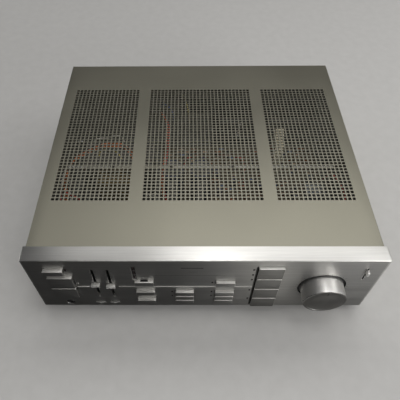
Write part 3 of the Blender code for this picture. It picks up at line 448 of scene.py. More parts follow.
# ---------------------------------------------------------------------------------------------
# The looks
# ---------------------------------------------------------------------------------------------
ALU = brushed("faceplate_brushed_aluminium", (0.74, 0.735, 0.715), rough=0.35, aniso=0.72,
              front_rough=0.0)
# darker copy of the faceplate aluminium for faces that look forward or down: painted shade
ALU_PAINTED_SHADE = brushed("brushed_aluminium_painted_shade", (0.52, 0.515, 0.50), rough=0.36, aniso=0.70,
                    depth=3e-5)
# still darker copy of the brushed aluminium for the fronts and sides of the selector caps: painted
# shade
SELECTOR_FRONT_SHADE = brushed("selector_front_painted_shade", (0.28, 0.277, 0.268), rough=0.36, aniso=0.70,
                     depth=3e-5)
ALU_KNOB = turned("knob_turned_aluminium", (0.96, 0.95, 0.93), rough=0.42, aniso=0.25,
                  streak=0.016)
# dark copy of the turned knob aluminium for its front face: painted shade
KNOB_FACE_SHADE = turned("knob_face_aluminium", (0.27, 0.265, 0.257), rough=0.34, aniso=0.45,
                       streak=0.022)
ALU_BUTTON = satin("button_satin_silver", (0.90, 0.89, 0.86), rough=0.42)
ALU_SLIDER = satin("slider_satin_silver", (0.70, 0.695, 0.67), rough=0.42)
ALU_BALANCE = satin("balance_satin_silver", (0.95, 0.94, 0.92), rough=0.55)
ALU_SMALL = satin("small_knob_satin", (0.52, 0.515, 0.50), rough=0.42)
COVER = paint("cover_champagne_paint", (0.285, 0.275, 0.224), rough=0.39, metallic=0.85,
              wear=cover_wear)
# darker copy of the cover paint for the walls of the vent holes: painted shade
COVER_HOLE_SHADE = paint("cover_hole_wall_painted_shade", (0.17, 0.165, 0.137), rough=0.42, metallic=0.4)
CAN_TOP = satin("capacitor_top_aluminium", (0.16, 0.158, 0.155), rough=0.45)
ZINC = zinc("zinc_plated_steel", (0.62, 0.61, 0.57), rough=0.36)
# near-black copy of the plated steel for parts deep inside and in shadow: painted shade
ZINC_SHADE = zinc("plated_steel_painted_shade", (0.07, 0.068, 0.063), rough=0.5)
# half-dark copy of the plated steel for the cross-brace: painted shade
ZINC_HALF_SHADE = zinc("brace_steel_painted_shade", (0.36, 0.355, 0.33), rough=0.5)
SWITCH_CAN = zinc("switch_can_tin", (0.50, 0.49, 0.47), rough=0.40)
POT_DARK = zinc("slide_pot_can", (0.05, 0.05, 0.05), rough=0.50)
BLACK = plastic("black_moulding", (0.018, 0.018, 0.019), rough=0.42)
BLACK_MATT = plastic("black_matt_moulding", (0.010, 0.010, 0.010), rough=0.68, grain=1800.0,
                     dust=0.01, specular=0.2)
RUBBER = plastic("foot_rubber", (0.022, 0.022, 0.022), rough=0.72, grain=900.0, depth=6e-5,
                 dust=0.06, specular=0.3)
CORD_JACKET = plastic("cord_jacket", (0.022, 0.022, 0.023), rough=0.48, grain=700.0,
                      dust=0.04, specular=0.4)
INK = plastic("printed_ink", (0.035, 0.034, 0.033), rough=0.5, grain=2000.0, depth=4e-6,
              dust=0.0)
INK_WHITE = plastic("printed_white", (0.72, 0.71, 0.68), rough=0.5, grain=2000.0, depth=4e-6,
                    dust=0.0)
RED_PLASTIC = plastic("red_moulding", (0.42, 0.022, 0.018), rough=0.36, grain=1200.0,
                      depth=2e-5)
WHITE_PLASTIC = plastic("white_moulding", (0.66, 0.65, 0.60), rough=0.36, grain=1200.0,
                        depth=2e-5)
GREY_PLASTIC = plastic("grey_moulding", (0.20, 0.20, 0.20), rough=0.42, grain=1200.0,
                       depth=2e-5)
CREAM = plastic("cream_sleeve", (0.72, 0.66, 0.50), rough=0.5, grain=900.0, depth=2e-5,
                dust=0.02)
SCREW = brushed("plated_screw_steel", (0.60, 0.595, 0.58), rough=0.30, grain="z", aniso=0.3)
NICKEL = brushed("nickel_plating", (0.68, 0.66, 0.61), rough=0.20, grain="z", aniso=0.2,
                 streak=0.03)
BRASS = brushed("brass_contact", (0.70, 0.52, 0.25), rough=0.26, grain="z", aniso=0.2,
                streak=0.04)
SINK = brushed("black_anodised_sink", (0.045, 0.045, 0.050), rough=0.42, grain="z", aniso=0.6,
               streak=0.06)
SOLDER = satin("solder_joint", (0.62, 0.62, 0.60), rough=0.28)
SMOKED = smoked("smoked_window", (0.012, 0.011, 0.012))
LAMP = smoked("unlit_lamp_lens", (0.014, 0.006, 0.006), rough=0.20)
LAMP_CLEAR = smoked("clear_lamp_lens", (0.42, 0.41, 0.38), rough=0.14)
RELAY_CASE = smoked("relay_case", (0.30, 0.33, 0.36), rough=0.16)
LAMINATION = laminations()
TAPE = coil_tape()
BOARD = phenolic_board()
SLEEVE = capacitor_sleeve()


# ---------------------------------------------------------------------------------------------
# Mesh tools, all in millimetres until the mesh is finished
# ---------------------------------------------------------------------------------------------
def finish_mesh(name, mesh, looks, slot, body="chassis", replaces=None, sharp=35):
    for vert in mesh.verts:
        vert.co = to_metres(vert.co)
    bmesh.ops.recalc_face_normals(mesh, faces=mesh.faces)
    data = bpy.data.meshes.new(name)
    mesh.to_mesh(data)
    mesh.free()
    made = bpy.data.objects.new(name, data)
    bpy.context.scene.collection.objects.link(made)
    for look in looks if isinstance(looks, list) else [looks]:
        data.materials.append(look)
    data.shade_smooth()
    data.set_sharp_from_angle(angle=math.radians(sharp))
    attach(made, body)
    if replaces:
        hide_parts(replaces)


def loft(mesh, rings, caps=(True, True), closed=False, look=0):
    """Skin over rings of equal count; closed joins the last ring to the first."""
    made = [[mesh.verts.new(p) for p in ring] for ring in rings]
    count = len(made[0])
    pairs = list(zip(made, made[1:]))
    if closed:
        pairs.append((made[-1], made[0]))
    for a, b in pairs:
        for i in range(count):
            j = (i + 1) % count
            mesh.faces.new((a[i], a[j], b[j], b[i])).material_index = look
    if not closed:
        if caps[0]:
            mesh.faces.new(made[0]).material_index = look
        if caps[1]:
            mesh.faces.new(list(reversed(made[-1]))).material_index = look
    return made


def circle(axis, at, station, radius, count):
    """Circle about an axis; at holds the two other coordinates of its centre."""
    points = []
    for i in range(count):
        angle = 2 * math.pi * i / count
        u, v = at[0] + radius * math.cos(angle), at[1] + radius * math.sin(angle)
        points.append({"x": (station, u, v), "y": (u, station, v), "z": (u, v, station)}[axis])
    return points


def lathe(mesh, axis, at, rows, count, **options):
    """Turned body from rows of (place along the axis, radius)."""
    rings = [circle(axis, at, station, radius, count) for station, radius in rows]
    return loft(mesh, rings, **options)


def rounded_rect(x0, x1, z0, z1, radius, y, steps=3):
    """Rounded rectangle across y, anticlockwise from the right side's upper end."""
    radius = max(0.01, min(radius, (x1 - x0) / 2 - 1e-3, (z1 - z0) / 2 - 1e-3))
    points = []
    for x, z, start in ((x1 - radius, z1 - radius, 0), (x0 + radius, z1 - radius, 90),
                        (x0 + radius, z0 + radius, 180), (x1 - radius, z0 + radius, 270)):
        for i in range(steps + 1):
            angle = math.radians(start + 90 * i / steps)
            points.append((x + radius * math.cos(angle), y, z + radius * math.sin(angle)))
    return points


def inset_rings(box, stations, steps=3):
    """Rounded outlines of a box from stations of (inset in x, inset in z, radius, y)."""
    return [rounded_rect(box.x0 + dx, box.x1 - dx, box.z0 + dz, box.z1 - dz, radius, y, steps)
            for dx, dz, radius, y in stations]


def block(mesh, x0, x1, y0, y1, z0, z1, radius=0.0, segments=2):
    """Box with all its edges rounded."""
    x0, x1 = sorted((x0, x1))
    verts = [mesh.verts.new((x, y, z)) for z in (z0, z1) for y in (y0, y1) for x in (x0, x1)]
    quads = ((0, 2, 3, 1), (4, 5, 7, 6), (0, 1, 5, 4), (2, 6, 7, 3), (0, 4, 6, 2), (1, 3, 7, 5))
    faces = [mesh.faces.new([verts[i] for i in quad]) for quad in quads]
    if radius > 0:
        edges = list({edge for face in faces for edge in face.edges})
        offset = min(radius, 0.49 * min(x1 - x0, y1 - y0, z1 - z0))
        bmesh.ops.bevel(mesh, geom=edges, offset=offset, segments=segments, profile=0.5,
                        affect="EDGES", clamp_overlap=True, material=-1)


def tube(mesh, points, radius, count=10):
    """Round bar swept along points without twisting."""
    points = [Vector(p) for p in points]
    rings = []
    side = (points[1] - points[0]).normalized().orthogonal().normalized()
    for i, point in enumerate(points):
        ahead = (points[min(i + 1, len(points) - 1)] - points[max(i - 1, 0)]).normalized()
        side = (side - ahead * side.dot(ahead)).normalized()
        up = ahead.cross(side)
        rings.append([tuple(point + side * (radius * math.cos(2 * math.pi * k / count))
                            + up * (radius * math.sin(2 * math.pi * k / count)))
                      for k in range(count)])
    loft(mesh, rings)


def spline(points, steps=10):
    """Smooth path through points (Catmull-Rom)."""
    knots = [Vector(q) for q in points]
    knots = [knots[0] * 2 - knots[1]] + knots + [knots[-1] * 2 - knots[-2]]
    path = []
    for a, b, c, d in zip(knots, knots[1:], knots[2:], knots[3:]):
        for k in range(steps):
            t = k / steps
            path.append(0.5 * ((2 * b) + (c - a) * t + (2 * a - 5 * b + 4 * c - d) * t * t
                               + (3 * b - a - 3 * c + d) * t ** 3))
    path.append(knots[-2])
    return path


def fill_between(mesh, outer, holes, look=0):
    """Flat face between an outer loop of verts and hole loops of verts."""
    edges = []
    for loop in [outer] + holes:
        for i in range(len(loop)):
            a, b = loop[i], loop[(i + 1) % len(loop)]
            edges.append(mesh.edges.get((a, b)) or mesh.edges.new((a, b)))
    filled = bmesh.ops.triangle_fill(mesh, use_beauty=True, use_dissolve=False, edges=edges)
    for item in filled["geom"]:
        if isinstance(item, bmesh.types.BMFace):
            item.material_index = look


def punch(mesh, outline, near, far, chamfer, loops):
    """Walls of an opening with a chamfered mouth at y near; outline(grow, y) gives its edge.

    loops collects the mouth's loops and the far end's loops.
    """
    inner = near + math.copysign(chamfer, far - near)
    rings = loft(mesh, [outline(chamfer, near), outline(0.0, inner), outline(0.0, far)],
                 caps=(False, False))
    loops[0].append(rings[0])
    loops[1].append(rings[-1])


def screw(mesh, at, axis, radius, height, shank=None, turn=0.3):
    """Pan-head screw with a cross recess.

    at: centre of the bearing face; axis: outwards; shank: (radius, length).
    """
    count = 40
    out = Vector(axis).normalized()
    right = out.orthogonal().normalized()
    up = out.cross(right)
    cos, sin = math.cos(turn), math.sin(turn)
    right, up = right * cos + up * sin, up * cos - right * sin

    def point(a, b, c):
        return tuple(Vector(at) + right * a + up * b + out * c)

    def ring(size, level):
        angles = [2 * math.pi * i / count for i in range(count)]
        return [point(size * math.cos(a), size * math.sin(a), level) for a in angles]

    rings = []
    if shank:
        rings += [ring(shank[0] * 0.6, -shank[1]), ring(shank[0], -shank[1] + shank[0] * 0.6),
                  ring(shank[0], 0.0)]
    # the head: share of its radius, share of its height
    dome = ((1.0, 0.14), (0.985, 0.42), (0.93, 0.72), (0.84, 0.92), (0.72, 1.0))
    rings += [ring(radius - 0.04, 0.0)] + [ring(radius * r, height * h) for r, h in dome]
    head = loft(mesh, rings, caps=(True, False))

    def cross(arm, half, level):
        inner = half * 1.35
        corners = [(arm, -half), (arm, half), (inner, inner), (half, arm), (-half, arm),
                   (-inner, inner), (-arm, half), (-arm, -half), (-inner, -inner),
                   (-half, -arm), (half, -arm), (inner, -inner)]
        return [point(a, b, level) for a, b in corners]

    arm, half = radius * 0.52, radius * 0.13
    recess = loft(mesh, [cross(arm, half, height),
                         cross(arm * 0.45, half * 0.75, height * 0.25)], caps=(False, True))
    fill_between(mesh, head[-1], [recess[0]])


# ---------------------------------------------------------------------------------------------
# Faceplate
# ---------------------------------------------------------------------------------------------
def face_outline(inset, y, low=None):
    """Nearly square-cornered outline; the lip overhangs along the top only.

    low: (extra inset, y) of the points below the lip.
    """
    half, bottom, top = FACE.x1 - inset, FACE.z0 + inset, FACE.z1 - inset
    brow = FACE.z1 - 2.9  # the lip's lower edge
    points = rounded_rect(-half, half, bottom, top, max(0.25, 0.9 - inset * 0.4), y, 3)
    points = (points[:8] + [(-half, y, brow + 0.3), (-half, y, brow)]
              + points[8:] + [(half, y, brow), (half, y, brow + 0.3)])
    if low is None:
        return points
    extra, low_y = low
    moved = []
    for x, point_y, z in points:
        if z < brow + 0.1:
            x = math.copysign(max(0.0, abs(x) - extra), x)
            z = z + extra if z < FACE.z0 + 6 else z
            point_y = low_y
        moved.append((x, point_y, z))
    return moved


def faceplate():
    mesh = bmesh.new()
    round_r = 1.0  # rounding of the lip's outer edge
    rings = [face_outline(0.0, FACE.y1)]
    for i in range(5):
        angle = math.radians(90 * i / 4)
        inset, y = round_r * (1 - math.cos(angle)), round_r * (1 - math.sin(angle))
        rings.append(face_outline(inset, y, (-0.4 * inset, 0.6 * y + FACE_Y)))
    rings += [face_outline(1.62, 0.0, (0.0, FACE_Y)), face_outline(1.80, 0.16, (0.05, FACE_Y)),
              face_outline(1.80, FACE_Y, (0.30, FACE_Y))]
    outside = loft(mesh, rings, caps=(False, False))
    inside = loft(mesh, [face_outline(3.0, FACE.y1), face_outline(3.0, PLATE_Y)],
                  caps=(False, False))
    a, b = outside[0], inside[0]
    for i in range(len(a)):
        j = (i + 1) % len(a)
        mesh.faces.new((a[i], a[j], b[j], b[i]))

    loops = ([], [])

    def box_hole(x0, x1, z0, z1, radius=0.4):
        def outline(grow, y):
            return rounded_rect(x0 - grow, x1 + grow, z0 - grow, z1 + grow, radius + grow, y, 2)

        punch(mesh, outline, FACE_Y, PLATE_Y, 0.22, loops)

    for nodes in [["power_button"]] + [[node] for node in SMALL] + [SELECTORS, SPEAKERS]:
        box = group_box(nodes)
        box_hole(box.x0 - PLAY, box.x1 + PLAY, box.z0 - PLAY, box.z1 + PLAY)
    for x, z0, z1 in SLIDERS.values():
        box_hole(x - 1.5, x + 1.5, z0, z1, 1.2)
    for box in TURNOVERS.values():
        box_hole(box.mid_x - 5.0, box.mid_x + 5.0, box.mid_z - 1.3, box.mid_z + 1.3, 0.5)
    box_hole(BALANCE.mid_x - 0.8, BALANCE.mid_x + 0.8, down(44.0), down(18.0), 0.6)
    box_hole(WINDOW.x0 + 0.9, WINDOW.x1 - 0.1, WINDOW.z0 + 0.7, WINDOW.z1 - 0.7, 0.3)
    punch(mesh, lambda grow, y: circle("y", JACK_AXIS, y, 5.6 + grow, 40), FACE_Y, PLATE_Y,
          0.3, loops)
    # the volume knob's well: a round recess with a floor and a hole for the shaft
    floor_y, chamfer, shaft_hole = FACE_Y + 2.8, 0.35, 6.5
    well = lathe(mesh, "y", VOLUME_AXIS, [
        (FACE_Y, WELL_R + chamfer), (FACE_Y + chamfer, WELL_R), (floor_y, WELL_R),
        (floor_y, shaft_hole), (PLATE_Y, shaft_hole)], 128, caps=(False, False))
    loops[0].append(well[0])
    loops[1].append(well[-1])
    # the front field takes the darker aluminium copy: painted shade
    fill_between(mesh, outside[-1], loops[0], look=2)
    fill_between(mesh, inside[-1], loops[1])
    # painted shade: the well's walls and floor take the black moulding so the recess reads as a
    # deep shadow
    for face in mesh.faces:
        centre = face.calc_center_median()
        radius = math.hypot(centre.x - VOLUME_AXIS[0], centre.z - VOLUME_AXIS[1])
        if centre.y > FACE_Y + 0.3 and radius < WELL_R + 0.1:
            face.material_index = 1
    finish_mesh("faceplate_body", mesh, [ALU, BLACK, ALU_PAINTED_SHADE], "faceplate_aluminium",
                replaces="faceplate", sharp=30)


faceplate()


# ---------------------------------------------------------------------------------------------
# Buttons
# ---------------------------------------------------------------------------------------------
class Notch(NamedTuple):
    """Recess in a cap's top side: it runs back from length in front of the face."""
    x0: float
    x1: float
    depth: float
    length: float


def button(node, notch=None):
    """Cap with rounded front edges, side stops behind the faceplate and a square stem."""
    steps = 4
    box = cap_box(node)
    x0, x1, z0, z1 = box.x0, box.x1, box.z0, box.z1
    front = box.y0 + (0.2 if node in SELECTORS + SPEAKERS else 0.6)
    back = PLATE_Y + 0.7
    edge_r = 0.55

    def ring(left, right, low, high, radius, y, cut=0.0):
        points = rounded_rect(left, right, low, high, radius, y, steps)
        if notch:
            # the top side runs from the first corner (right) to the second (left)
            points[steps + 1:steps + 1] = [(notch.x1, y, high), (notch.x1, y, high - cut),
                                           (notch.x0, y, high - cut), (notch.x0, y, high)]
        return points

    rings = []
    for i in range(6):
        angle = math.radians(90 * i / 5)
        inset = edge_r * (1 - math.sin(angle))
        rings.append(ring(x0 + inset, x1 - inset, z0 + inset, z1 - inset,
                          0.5 + edge_r - inset * 0.6, front + edge_r * (1 - math.cos(angle))))
    if notch:
        notch_y = FACE_Y - notch.length
        rings.append(ring(x0, x1, z0, z1, 0.9, notch_y))
        rings.append(ring(x0, x1, z0, z1, 0.9, notch_y, notch.depth))
    rings.append(ring(x0, x1, z0, z1, 0.9, back, notch.depth if notch else 0.0))
    flare = (x0 - STOP, x1 + STOP, z0 + 0.05, z1 - 0.05, 0.4)
    rings += [ring(*flare, back), ring(*flare, back + 1.1)]
    mid_x, mid_z = (x0 + x1) / 2, (z0 + z1) / 2
    stem = rounded_rect(mid_x - 2, mid_x + 2, mid_z - 2, mid_z + 2, 0.3, 0, steps)
    if notch:
        stem[steps + 1:steps + 1] = [(mid_x + dx, 0, mid_z + 2) for dx in (0.8, 0.4, -0.4, -0.8)]
    for y, size in ((back + 1.1, 1.0), (box.y1 - 0.4, 1.0), (box.y1, 0.8)):
        rings.append([(mid_x + (p[0] - mid_x) * size, y, mid_z + (p[2] - mid_z) * size)
                      for p in stem])
    mesh = bmesh.new()
    loft(mesh, rings)
    mesh.normal_update()
    for face in mesh.faces:
        centre = face.calc_center_median()
        if centre.y > back - 0.01:
            face.material_index = 1
        # the cap's front and sides take a darker aluminium copy: painted shade
        elif centre.y < front + 0.02 or abs(face.normal.x) > 0.75:
            face.material_index = 2
        elif (notch and centre.y > notch_y - 0.01
              and notch.x0 - 0.01 < centre.x < notch.x1 + 0.01
              and z1 - notch.depth - 0.01 < centre.z < z1 - 0.02):
            face.material_index = 1
    if notch:
        bmesh.ops.remove_doubles(mesh, verts=mesh.verts, dist=0.002)
    front_shade_look = SELECTOR_FRONT_SHADE if node in SELECTORS else ALU_PAINTED_SHADE
    finish_mesh(node + "_cap", mesh, [ALU_BUTTON, BLACK, front_shade_look], "button_aluminium",
                body=node, replaces=node, sharp=30)


MUTING_X = cap_box("muting_button").x0
NOTCHES = {"muting_button": Notch(MUTING_X + 7.4, MUTING_X + 16.6, depth=1.0, length=2.0)}
for node in ["power_button"] + SPEAKERS + SMALL + SELECTORS:
    button(node, NOTCHES.get(node))


# ---------------------------------------------------------------------------------------------
# Knobs
# ---------------------------------------------------------------------------------------------
def volume_knob():
    front, back = VOLUME.y0, VOLUME.y1
    rim = 25.9
    # y, radius: from the dished front over the rim and a groove to the hollow back and hub
    rows = [
        (front + 0.55, 0.02), (front + 0.55, 6.0), (front + 0.52, 14.0),
        (front + 0.50, rim - 2.9), (front + 0.35, rim - 2.5), (front + 0.04, rim - 2.2),
        (front, rim - 2.0), (front, rim - 0.9), (front + 0.10, rim - 0.52),
        (front + 0.32, rim - 0.22), (front + 0.62, rim - 0.06), (front + 1.0, rim),
        (back - 5.6, rim), (back - 5.45, rim - 0.12), (back - 5.25, rim - 0.12),
        (back - 5.1, rim), (back - 0.6, rim), (back - 0.15, rim - 0.15), (back, rim - 0.6),
        (back, rim - 1.5), (back - 4.0, rim - 2.5), (back - 4.0, 8.0), (back, 8.0),
        (back, 3.3), (back - 9.0, 3.3),
    ]
    mesh = bmesh.new()
    lathe(mesh, "y", VOLUME_AXIS, rows, 160)
    # the dished front takes the dark copy of the turned aluminium: painted shade
    for face in mesh.faces:
        if face.calc_center_median().y < front + 0.8:
            face.material_index = 2
    finish_mesh("volume_knob_body", mesh, [ALU_KNOB, BLACK, KNOB_FACE_SHADE], "knob_aluminium",
                body="volume_knob", replaces="volume_knob", sharp=28)
    # index mark: a short dark line let into the front near the rim
    x, z = VOLUME_AXIS
    mesh = bmesh.new()
    block(mesh, x - 0.45, x + 0.45, front + 0.28, front + 0.75, z + rim - 10.5, z + rim - 3.2,
          0.12)
    finish_mesh("volume_index_mark", mesh, CAN_TOP, "black_plastic", body="volume_knob")


volume_knob()

CAP_BACK = FACE_Y - 0.5  # rear of the small sliding caps


def finish_slider(node, suffix, mesh, looks):
    finish_mesh(node[:-len("knob")] + suffix, mesh, looks, "button_aluminium", body=node,
                replaces=node, sharp=30)


def slider(kind):
    """Tone slider: cap with ribs across its front, on a lever that narrows to the slot."""
    node = kind + "_slider_knob"
    x0, x1, y0, y1, z0, z1 = cad_box(node)
    z0 += 2.7
    ribs = 4
    pitch = (z1 - z0 - 1.2) / ribs
    # side profile (y, z) from the top's rear over the ribs to the bottom's rear
    profile = [(CAP_BACK, z1), (y0 + 1.0, z1), (y0 + 0.45, z1 - 0.18), (y0 + 0.18, z1 - 0.5)]
    for k in range(ribs):
        top = z1 - 0.6 - pitch * k
        mid = top - pitch / 2
        profile += [(y0, top - 0.12), (y0, mid + 0.14), (y0 + 0.42, mid - 0.02),
                    (y0 + 0.42, mid - 0.22), (y0, mid - 0.38)]
    profile += [(y0 + 0.18, z0 + 0.5), (y0 + 0.45, z0 + 0.18), (y0 + 1.0, z0), (CAP_BACK, z0)]
    mid_y = (y0 + CAP_BACK) / 2

    def section(x, inset):
        return [(x, max(y, y0 + inset) if y < mid_y else y,
                 min(max(z, z0 + inset), z1 - inset)) for y, z in profile]

    edge = 0.35
    mesh = bmesh.new()
    loft(mesh, [section(x0, edge), section(x0 + edge * 0.3, edge * 0.3),
                [(x0 + edge, *p) for p in profile], [(x1 - edge, *p) for p in profile],
                section(x1 - edge * 0.3, edge * 0.3), section(x1, edge)])
    # neck and lever: half width, half height, corner radius, y
    stations = [(1.35, 2.9, 0.3, CAP_BACK - 0.3), (1.25, 2.9, 0.3, CAP_BACK + 0.4),
                (0.55, 2.7, 0.25, CAP_BACK + 6.0), (0.5, 2.4, 0.25, y1)]
    mid_x, mid_z = (x0 + x1) / 2, (z0 + z1) / 2
    loft(mesh, [rounded_rect(mid_x - w, mid_x + w, mid_z - h, mid_z + h, radius, y, 2)
                for w, h, radius, y in stations])
    for face in mesh.faces:
        centre = face.calc_center_median()
        if centre.y > CAP_BACK + 0.3:
            face.material_index = 1
        # the lower half of the ribbed front and the underside take the darker aluminium copy:
        # painted shade
        elif centre.y < y0 + 0.6 and centre.z < mid_z or centre.z < z0 + 0.3:
            face.material_index = 2
    finish_slider(node, "cap", mesh, [ALU_SLIDER, BLACK, ALU_PAINTED_SHADE])


def turnover(kind):
    """Turnover knob: winged bar with a ridge in the middle."""
    box = TURNOVERS[kind]
    z0, z1 = box.z0, box.z1
    steps = 24
    edge = 0.35
    rings = []
    for i in range(steps + 1):
        t = -1 + 2 * i / steps
        x = box.mid_x + t * (box.x1 - box.x0) / 2
        rise = 0.45 + 0.55 * math.exp(-(t * 3.0) ** 2)
        end = min(1.0, (1 - abs(t)) / 0.06)
        rounding = 0.55 + 0.45 * math.sqrt(max(0.0, 1 - (1 - end) ** 2))
        y = CAP_BACK - (CAP_BACK - box.y0) * rise * rounding
        rings.append([(x, CAP_BACK, z0), (x, y + edge, z0), (x, y + edge * 0.3, z0 + edge * 0.3),
                      (x, y, z0 + edge), (x, y, z1 - edge),
                      (x, y + edge * 0.3, z1 - edge * 0.3), (x, y + edge, z1),
                      (x, CAP_BACK, z1)])
    mesh = bmesh.new()
    loft(mesh, rings)
    loft(mesh, [rounded_rect(box.mid_x - 1.6, box.mid_x + 1.6, box.mid_z - 0.9,
                             box.mid_z + 0.9, 0.3, y, 2)
                for y in (CAP_BACK - 0.2, box.y1)], look=1)
    # its objects are named after the whole knob: "_turnover_cap"
    finish_slider(kind + "_turnover_knob", "cap", mesh, [ALU_SMALL, BLACK])


def balance():
    """Balance slider: rounded cap on a thin lever."""
    edge_r = 0.7
    stations = []
    for i in range(5):
        angle = math.radians(90 * i / 4)
        inset = edge_r * (1 - math.sin(angle))
        y = BALANCE.y0 + edge_r * (1 - math.cos(angle))
        stations.append((inset, inset, 1.0 - inset * 0.5, y))
    stations.append((0.0, 0.0, 1.0, CAP_BACK))
    x, z = BALANCE.mid_x, BALANCE.mid_z
    lever = [rounded_rect(x - 0.4, x + 0.4, z - 1.8, z + 1.8, 0.2, y, 3)
             for y in (CAP_BACK, BALANCE.y1)]
    mesh = bmesh.new()
    loft(mesh, inset_rings(BALANCE, stations) + lever)
    finish_slider("balance_slider_knob", "cap", mesh, ALU_BALANCE)


for kind in ("bass", "treble"):
    slider(kind)
    turnover(kind)
balance()

# ---------------------------------------------------------------------------------------------
# Cover with its real holes
# ---------------------------------------------------------------------------------------------
VENT_PITCH = 5.47
VENT_ROWS = 40
VENT_FIRST = 63.3  # from the cover's rear edge to the rearmost row
VENT_FIELDS = ((0, 17), (21, 48), (52, 69))  # first and last column of each field
VENT_MIDDLE = 34.5  # column number at x = 0
HOLE = 3.95
HOLE_CORNER = 0.45
SHEET = 1.2
FOLD_R = 1.6
FOLD_STEPS = 5


def cover():
    mesh = bmesh.new()
    side, front, rear = COVER_BOX.x1, COVER_BOX.y0, COVER_BOX.y1
    bottom, top = COVER_BOX.z0, COVER_BOX.z1
    under = top - SHEET
    flat = side - FOLD_R  # the flat top ends here and the fold starts
    half = VENT_PITCH / 2
    verts = {}

    def vert(x, y, z):
        key = (round(x, 4), round(y, 4), round(z, 4))
        if key not in verts:
            verts[key] = mesh.verts.new((x, y, z))
        return verts[key]

    first_row = rear - VENT_FIRST - (VENT_ROWS - 1) * VENT_PITCH
    y_lines = [first_row - half + k * VENT_PITCH for k in range(VENT_ROWS + 1)]
    y_all = [front] + y_lines + [rear]
    fields = [[(a - VENT_MIDDLE) * VENT_PITCH - half + k * VENT_PITCH for k in range(b - a + 2)]
              for a, b in VENT_FIELDS]
    cells = [(xa, xb, ya, yb) for lines in fields for xa, xb in zip(lines, lines[1:])
             for ya, yb in zip(y_lines, y_lines[1:])]
    # 12 points, three a corner; each side of the cell joins the two corners it faces
    straight = HOLE / 2 - HOLE_CORNER
    hole = []
    for sx, sy, start in ((1, 1, 0), (-1, 1, 90), (-1, -1, 180), (1, -1, 270)):
        for i in range(3):
            angle = math.radians(start + 45 * i)
            hole.append((sx * straight + HOLE_CORNER * math.cos(angle),
                         sy * straight + HOLE_CORNER * math.sin(angle)))

    def hole_verts(cell, z):
        mid_x, mid_y = (cell[0] + cell[1]) / 2, (cell[2] + cell[3]) / 2
        return [vert(mid_x + x, mid_y + y, z) for x, y in hole]

    for z in (top, under):
        def face(points):
            mesh.faces.new(points if z == top else list(reversed(points)))

        def rectangle(xa, xb, ya, yb):
            face([vert(xa, ya, z), vert(xb, ya, z), vert(xb, yb, z), vert(xa, yb, z)])

        for cell in cells:
            xa, xb, ya, yb = cell
            rim = hole_verts(cell, z)
            corners = [vert(xb, yb, z), vert(xa, yb, z), vert(xa, ya, z), vert(xb, ya, z)]
            for q in range(4):
                # corner fan: cell corner with the three points of its hole corner
                face([corners[q], rim[q * 3 + 1], rim[q * 3]])
                face([corners[q], rim[q * 3 + 2], rim[q * 3 + 1]])
                following = (q + 1) % 4
                face([corners[q], corners[following], rim[following * 3], rim[q * 3 + 2]])
        # the plain bands beside and between the fields, then in front of and behind them
        x_all = [-flat] + [x for lines in fields for x in (lines[0], lines[-1])] + [flat]
        for k in range(len(x_all) - 1):
            if k % 2 == 0:
                for ya, yb in zip(y_all, y_all[1:]):
                    rectangle(x_all[k], x_all[k + 1], ya, yb)
            else:
                lines = fields[k // 2]
                for ya, yb in ((front, y_lines[0]), (y_lines[-1], rear)):
                    for xa, xb in zip(lines, lines[1:]):
                        rectangle(xa, xb, ya, yb)
    # hole walls, in a darker copy of the cover paint: painted shade
    for cell in cells:
        upper, lower = hole_verts(cell, top), hole_verts(cell, under)
        for q in range(12):
            r = (q + 1) % 12
            mesh.faces.new((upper[q], upper[r], lower[r], lower[q])).material_index = 1

    # folds and sides, with their front, rear and lower edges closed
    def fold(radius, x_end):
        """Section (x, z) of one skin, from the flat top round the fold and down."""
        points = []
        for i in range(FOLD_STEPS + 1):
            angle = math.radians(90 - 90 * i / FOLD_STEPS)
            points.append((flat + radius * math.cos(angle),
                           top - FOLD_R + radius * math.sin(angle)))
        return points + [(x_end, bottom)]

    outer, inner = fold(FOLD_R, side), fold(FOLD_R - SHEET, side - SHEET)
    for sign in (-1, 1):
        def strip(a, b, ya, yb):
            mesh.faces.new([vert(sign * a[0], ya, a[1]), vert(sign * b[0], ya, b[1]),
                            vert(sign * b[0], yb, b[1]), vert(sign * a[0], yb, a[1])])

        for k in range(len(outer) - 1):
            for ya, yb in zip(y_all, y_all[1:]):
                for skin in (outer, inner):
                    strip(skin[k], skin[k + 1], ya, yb)
            for y in (front, rear):
                ends = (outer[k], outer[k + 1], inner[k + 1], inner[k])
                mesh.faces.new([vert(sign * p[0], y, p[1]) for p in ends])
        for ya, yb in zip(y_all, y_all[1:]):
            strip(outer[-1], inner[-1], ya, yb)
    # front and rear edge of the top sheet
    x_edge = [-flat] + [x for lines in fields for x in lines] + [flat]
    for y in (front, rear):
        for a, b in zip(x_edge, x_edge[1:]):
            mesh.faces.new((vert(a, y, top), vert(b, y, top),
                            vert(b, y, under), vert(a, y, under)))
    finish_mesh("top_cover_shell", mesh, [COVER, COVER_HOLE_SHADE], "cover_paint",
                replaces="top_cover", sharp=40)


cover()

# ---------------------------------------------------------------------------------------------
# Front trim: divider rib, black strip of painted shade, lamps, printed scales
# ---------------------------------------------------------------------------------------------
SPEAKER_GROUP = group_box(SPEAKERS)
SELECTOR_GROUP = group_box(SELECTORS)


def rib(mesh, x0, x1, z, height=1.1, proud=0.9):
    """Horizontal bar on the front face with rounded edges."""
    radius = min(0.25, height * 0.3)
    back = FACE_Y + 0.3
    rings = []
    for x, inset in ((x0, 0.25), (x0 + 0.08, 0.08), (x0 + 0.25, 0.0), (x1 - 0.25, 0.0),
                     (x1 - 0.08, 0.08), (x1, 0.25)):
        y = FACE_Y - proud + inset
        low, high = z - height / 2 + inset * 0.6, z + height / 2 - inset * 0.6
        rings.append([(x, back, low), (x, y + radius, low),
                      (x, y + radius * 0.3, low + radius * 0.3), (x, y, low + radius),
                      (x, y, high - radius), (x, y + radius * 0.3, high - radius * 0.3),
                      (x, y + radius, high), (x, back, high)])
    loft(mesh, rings)


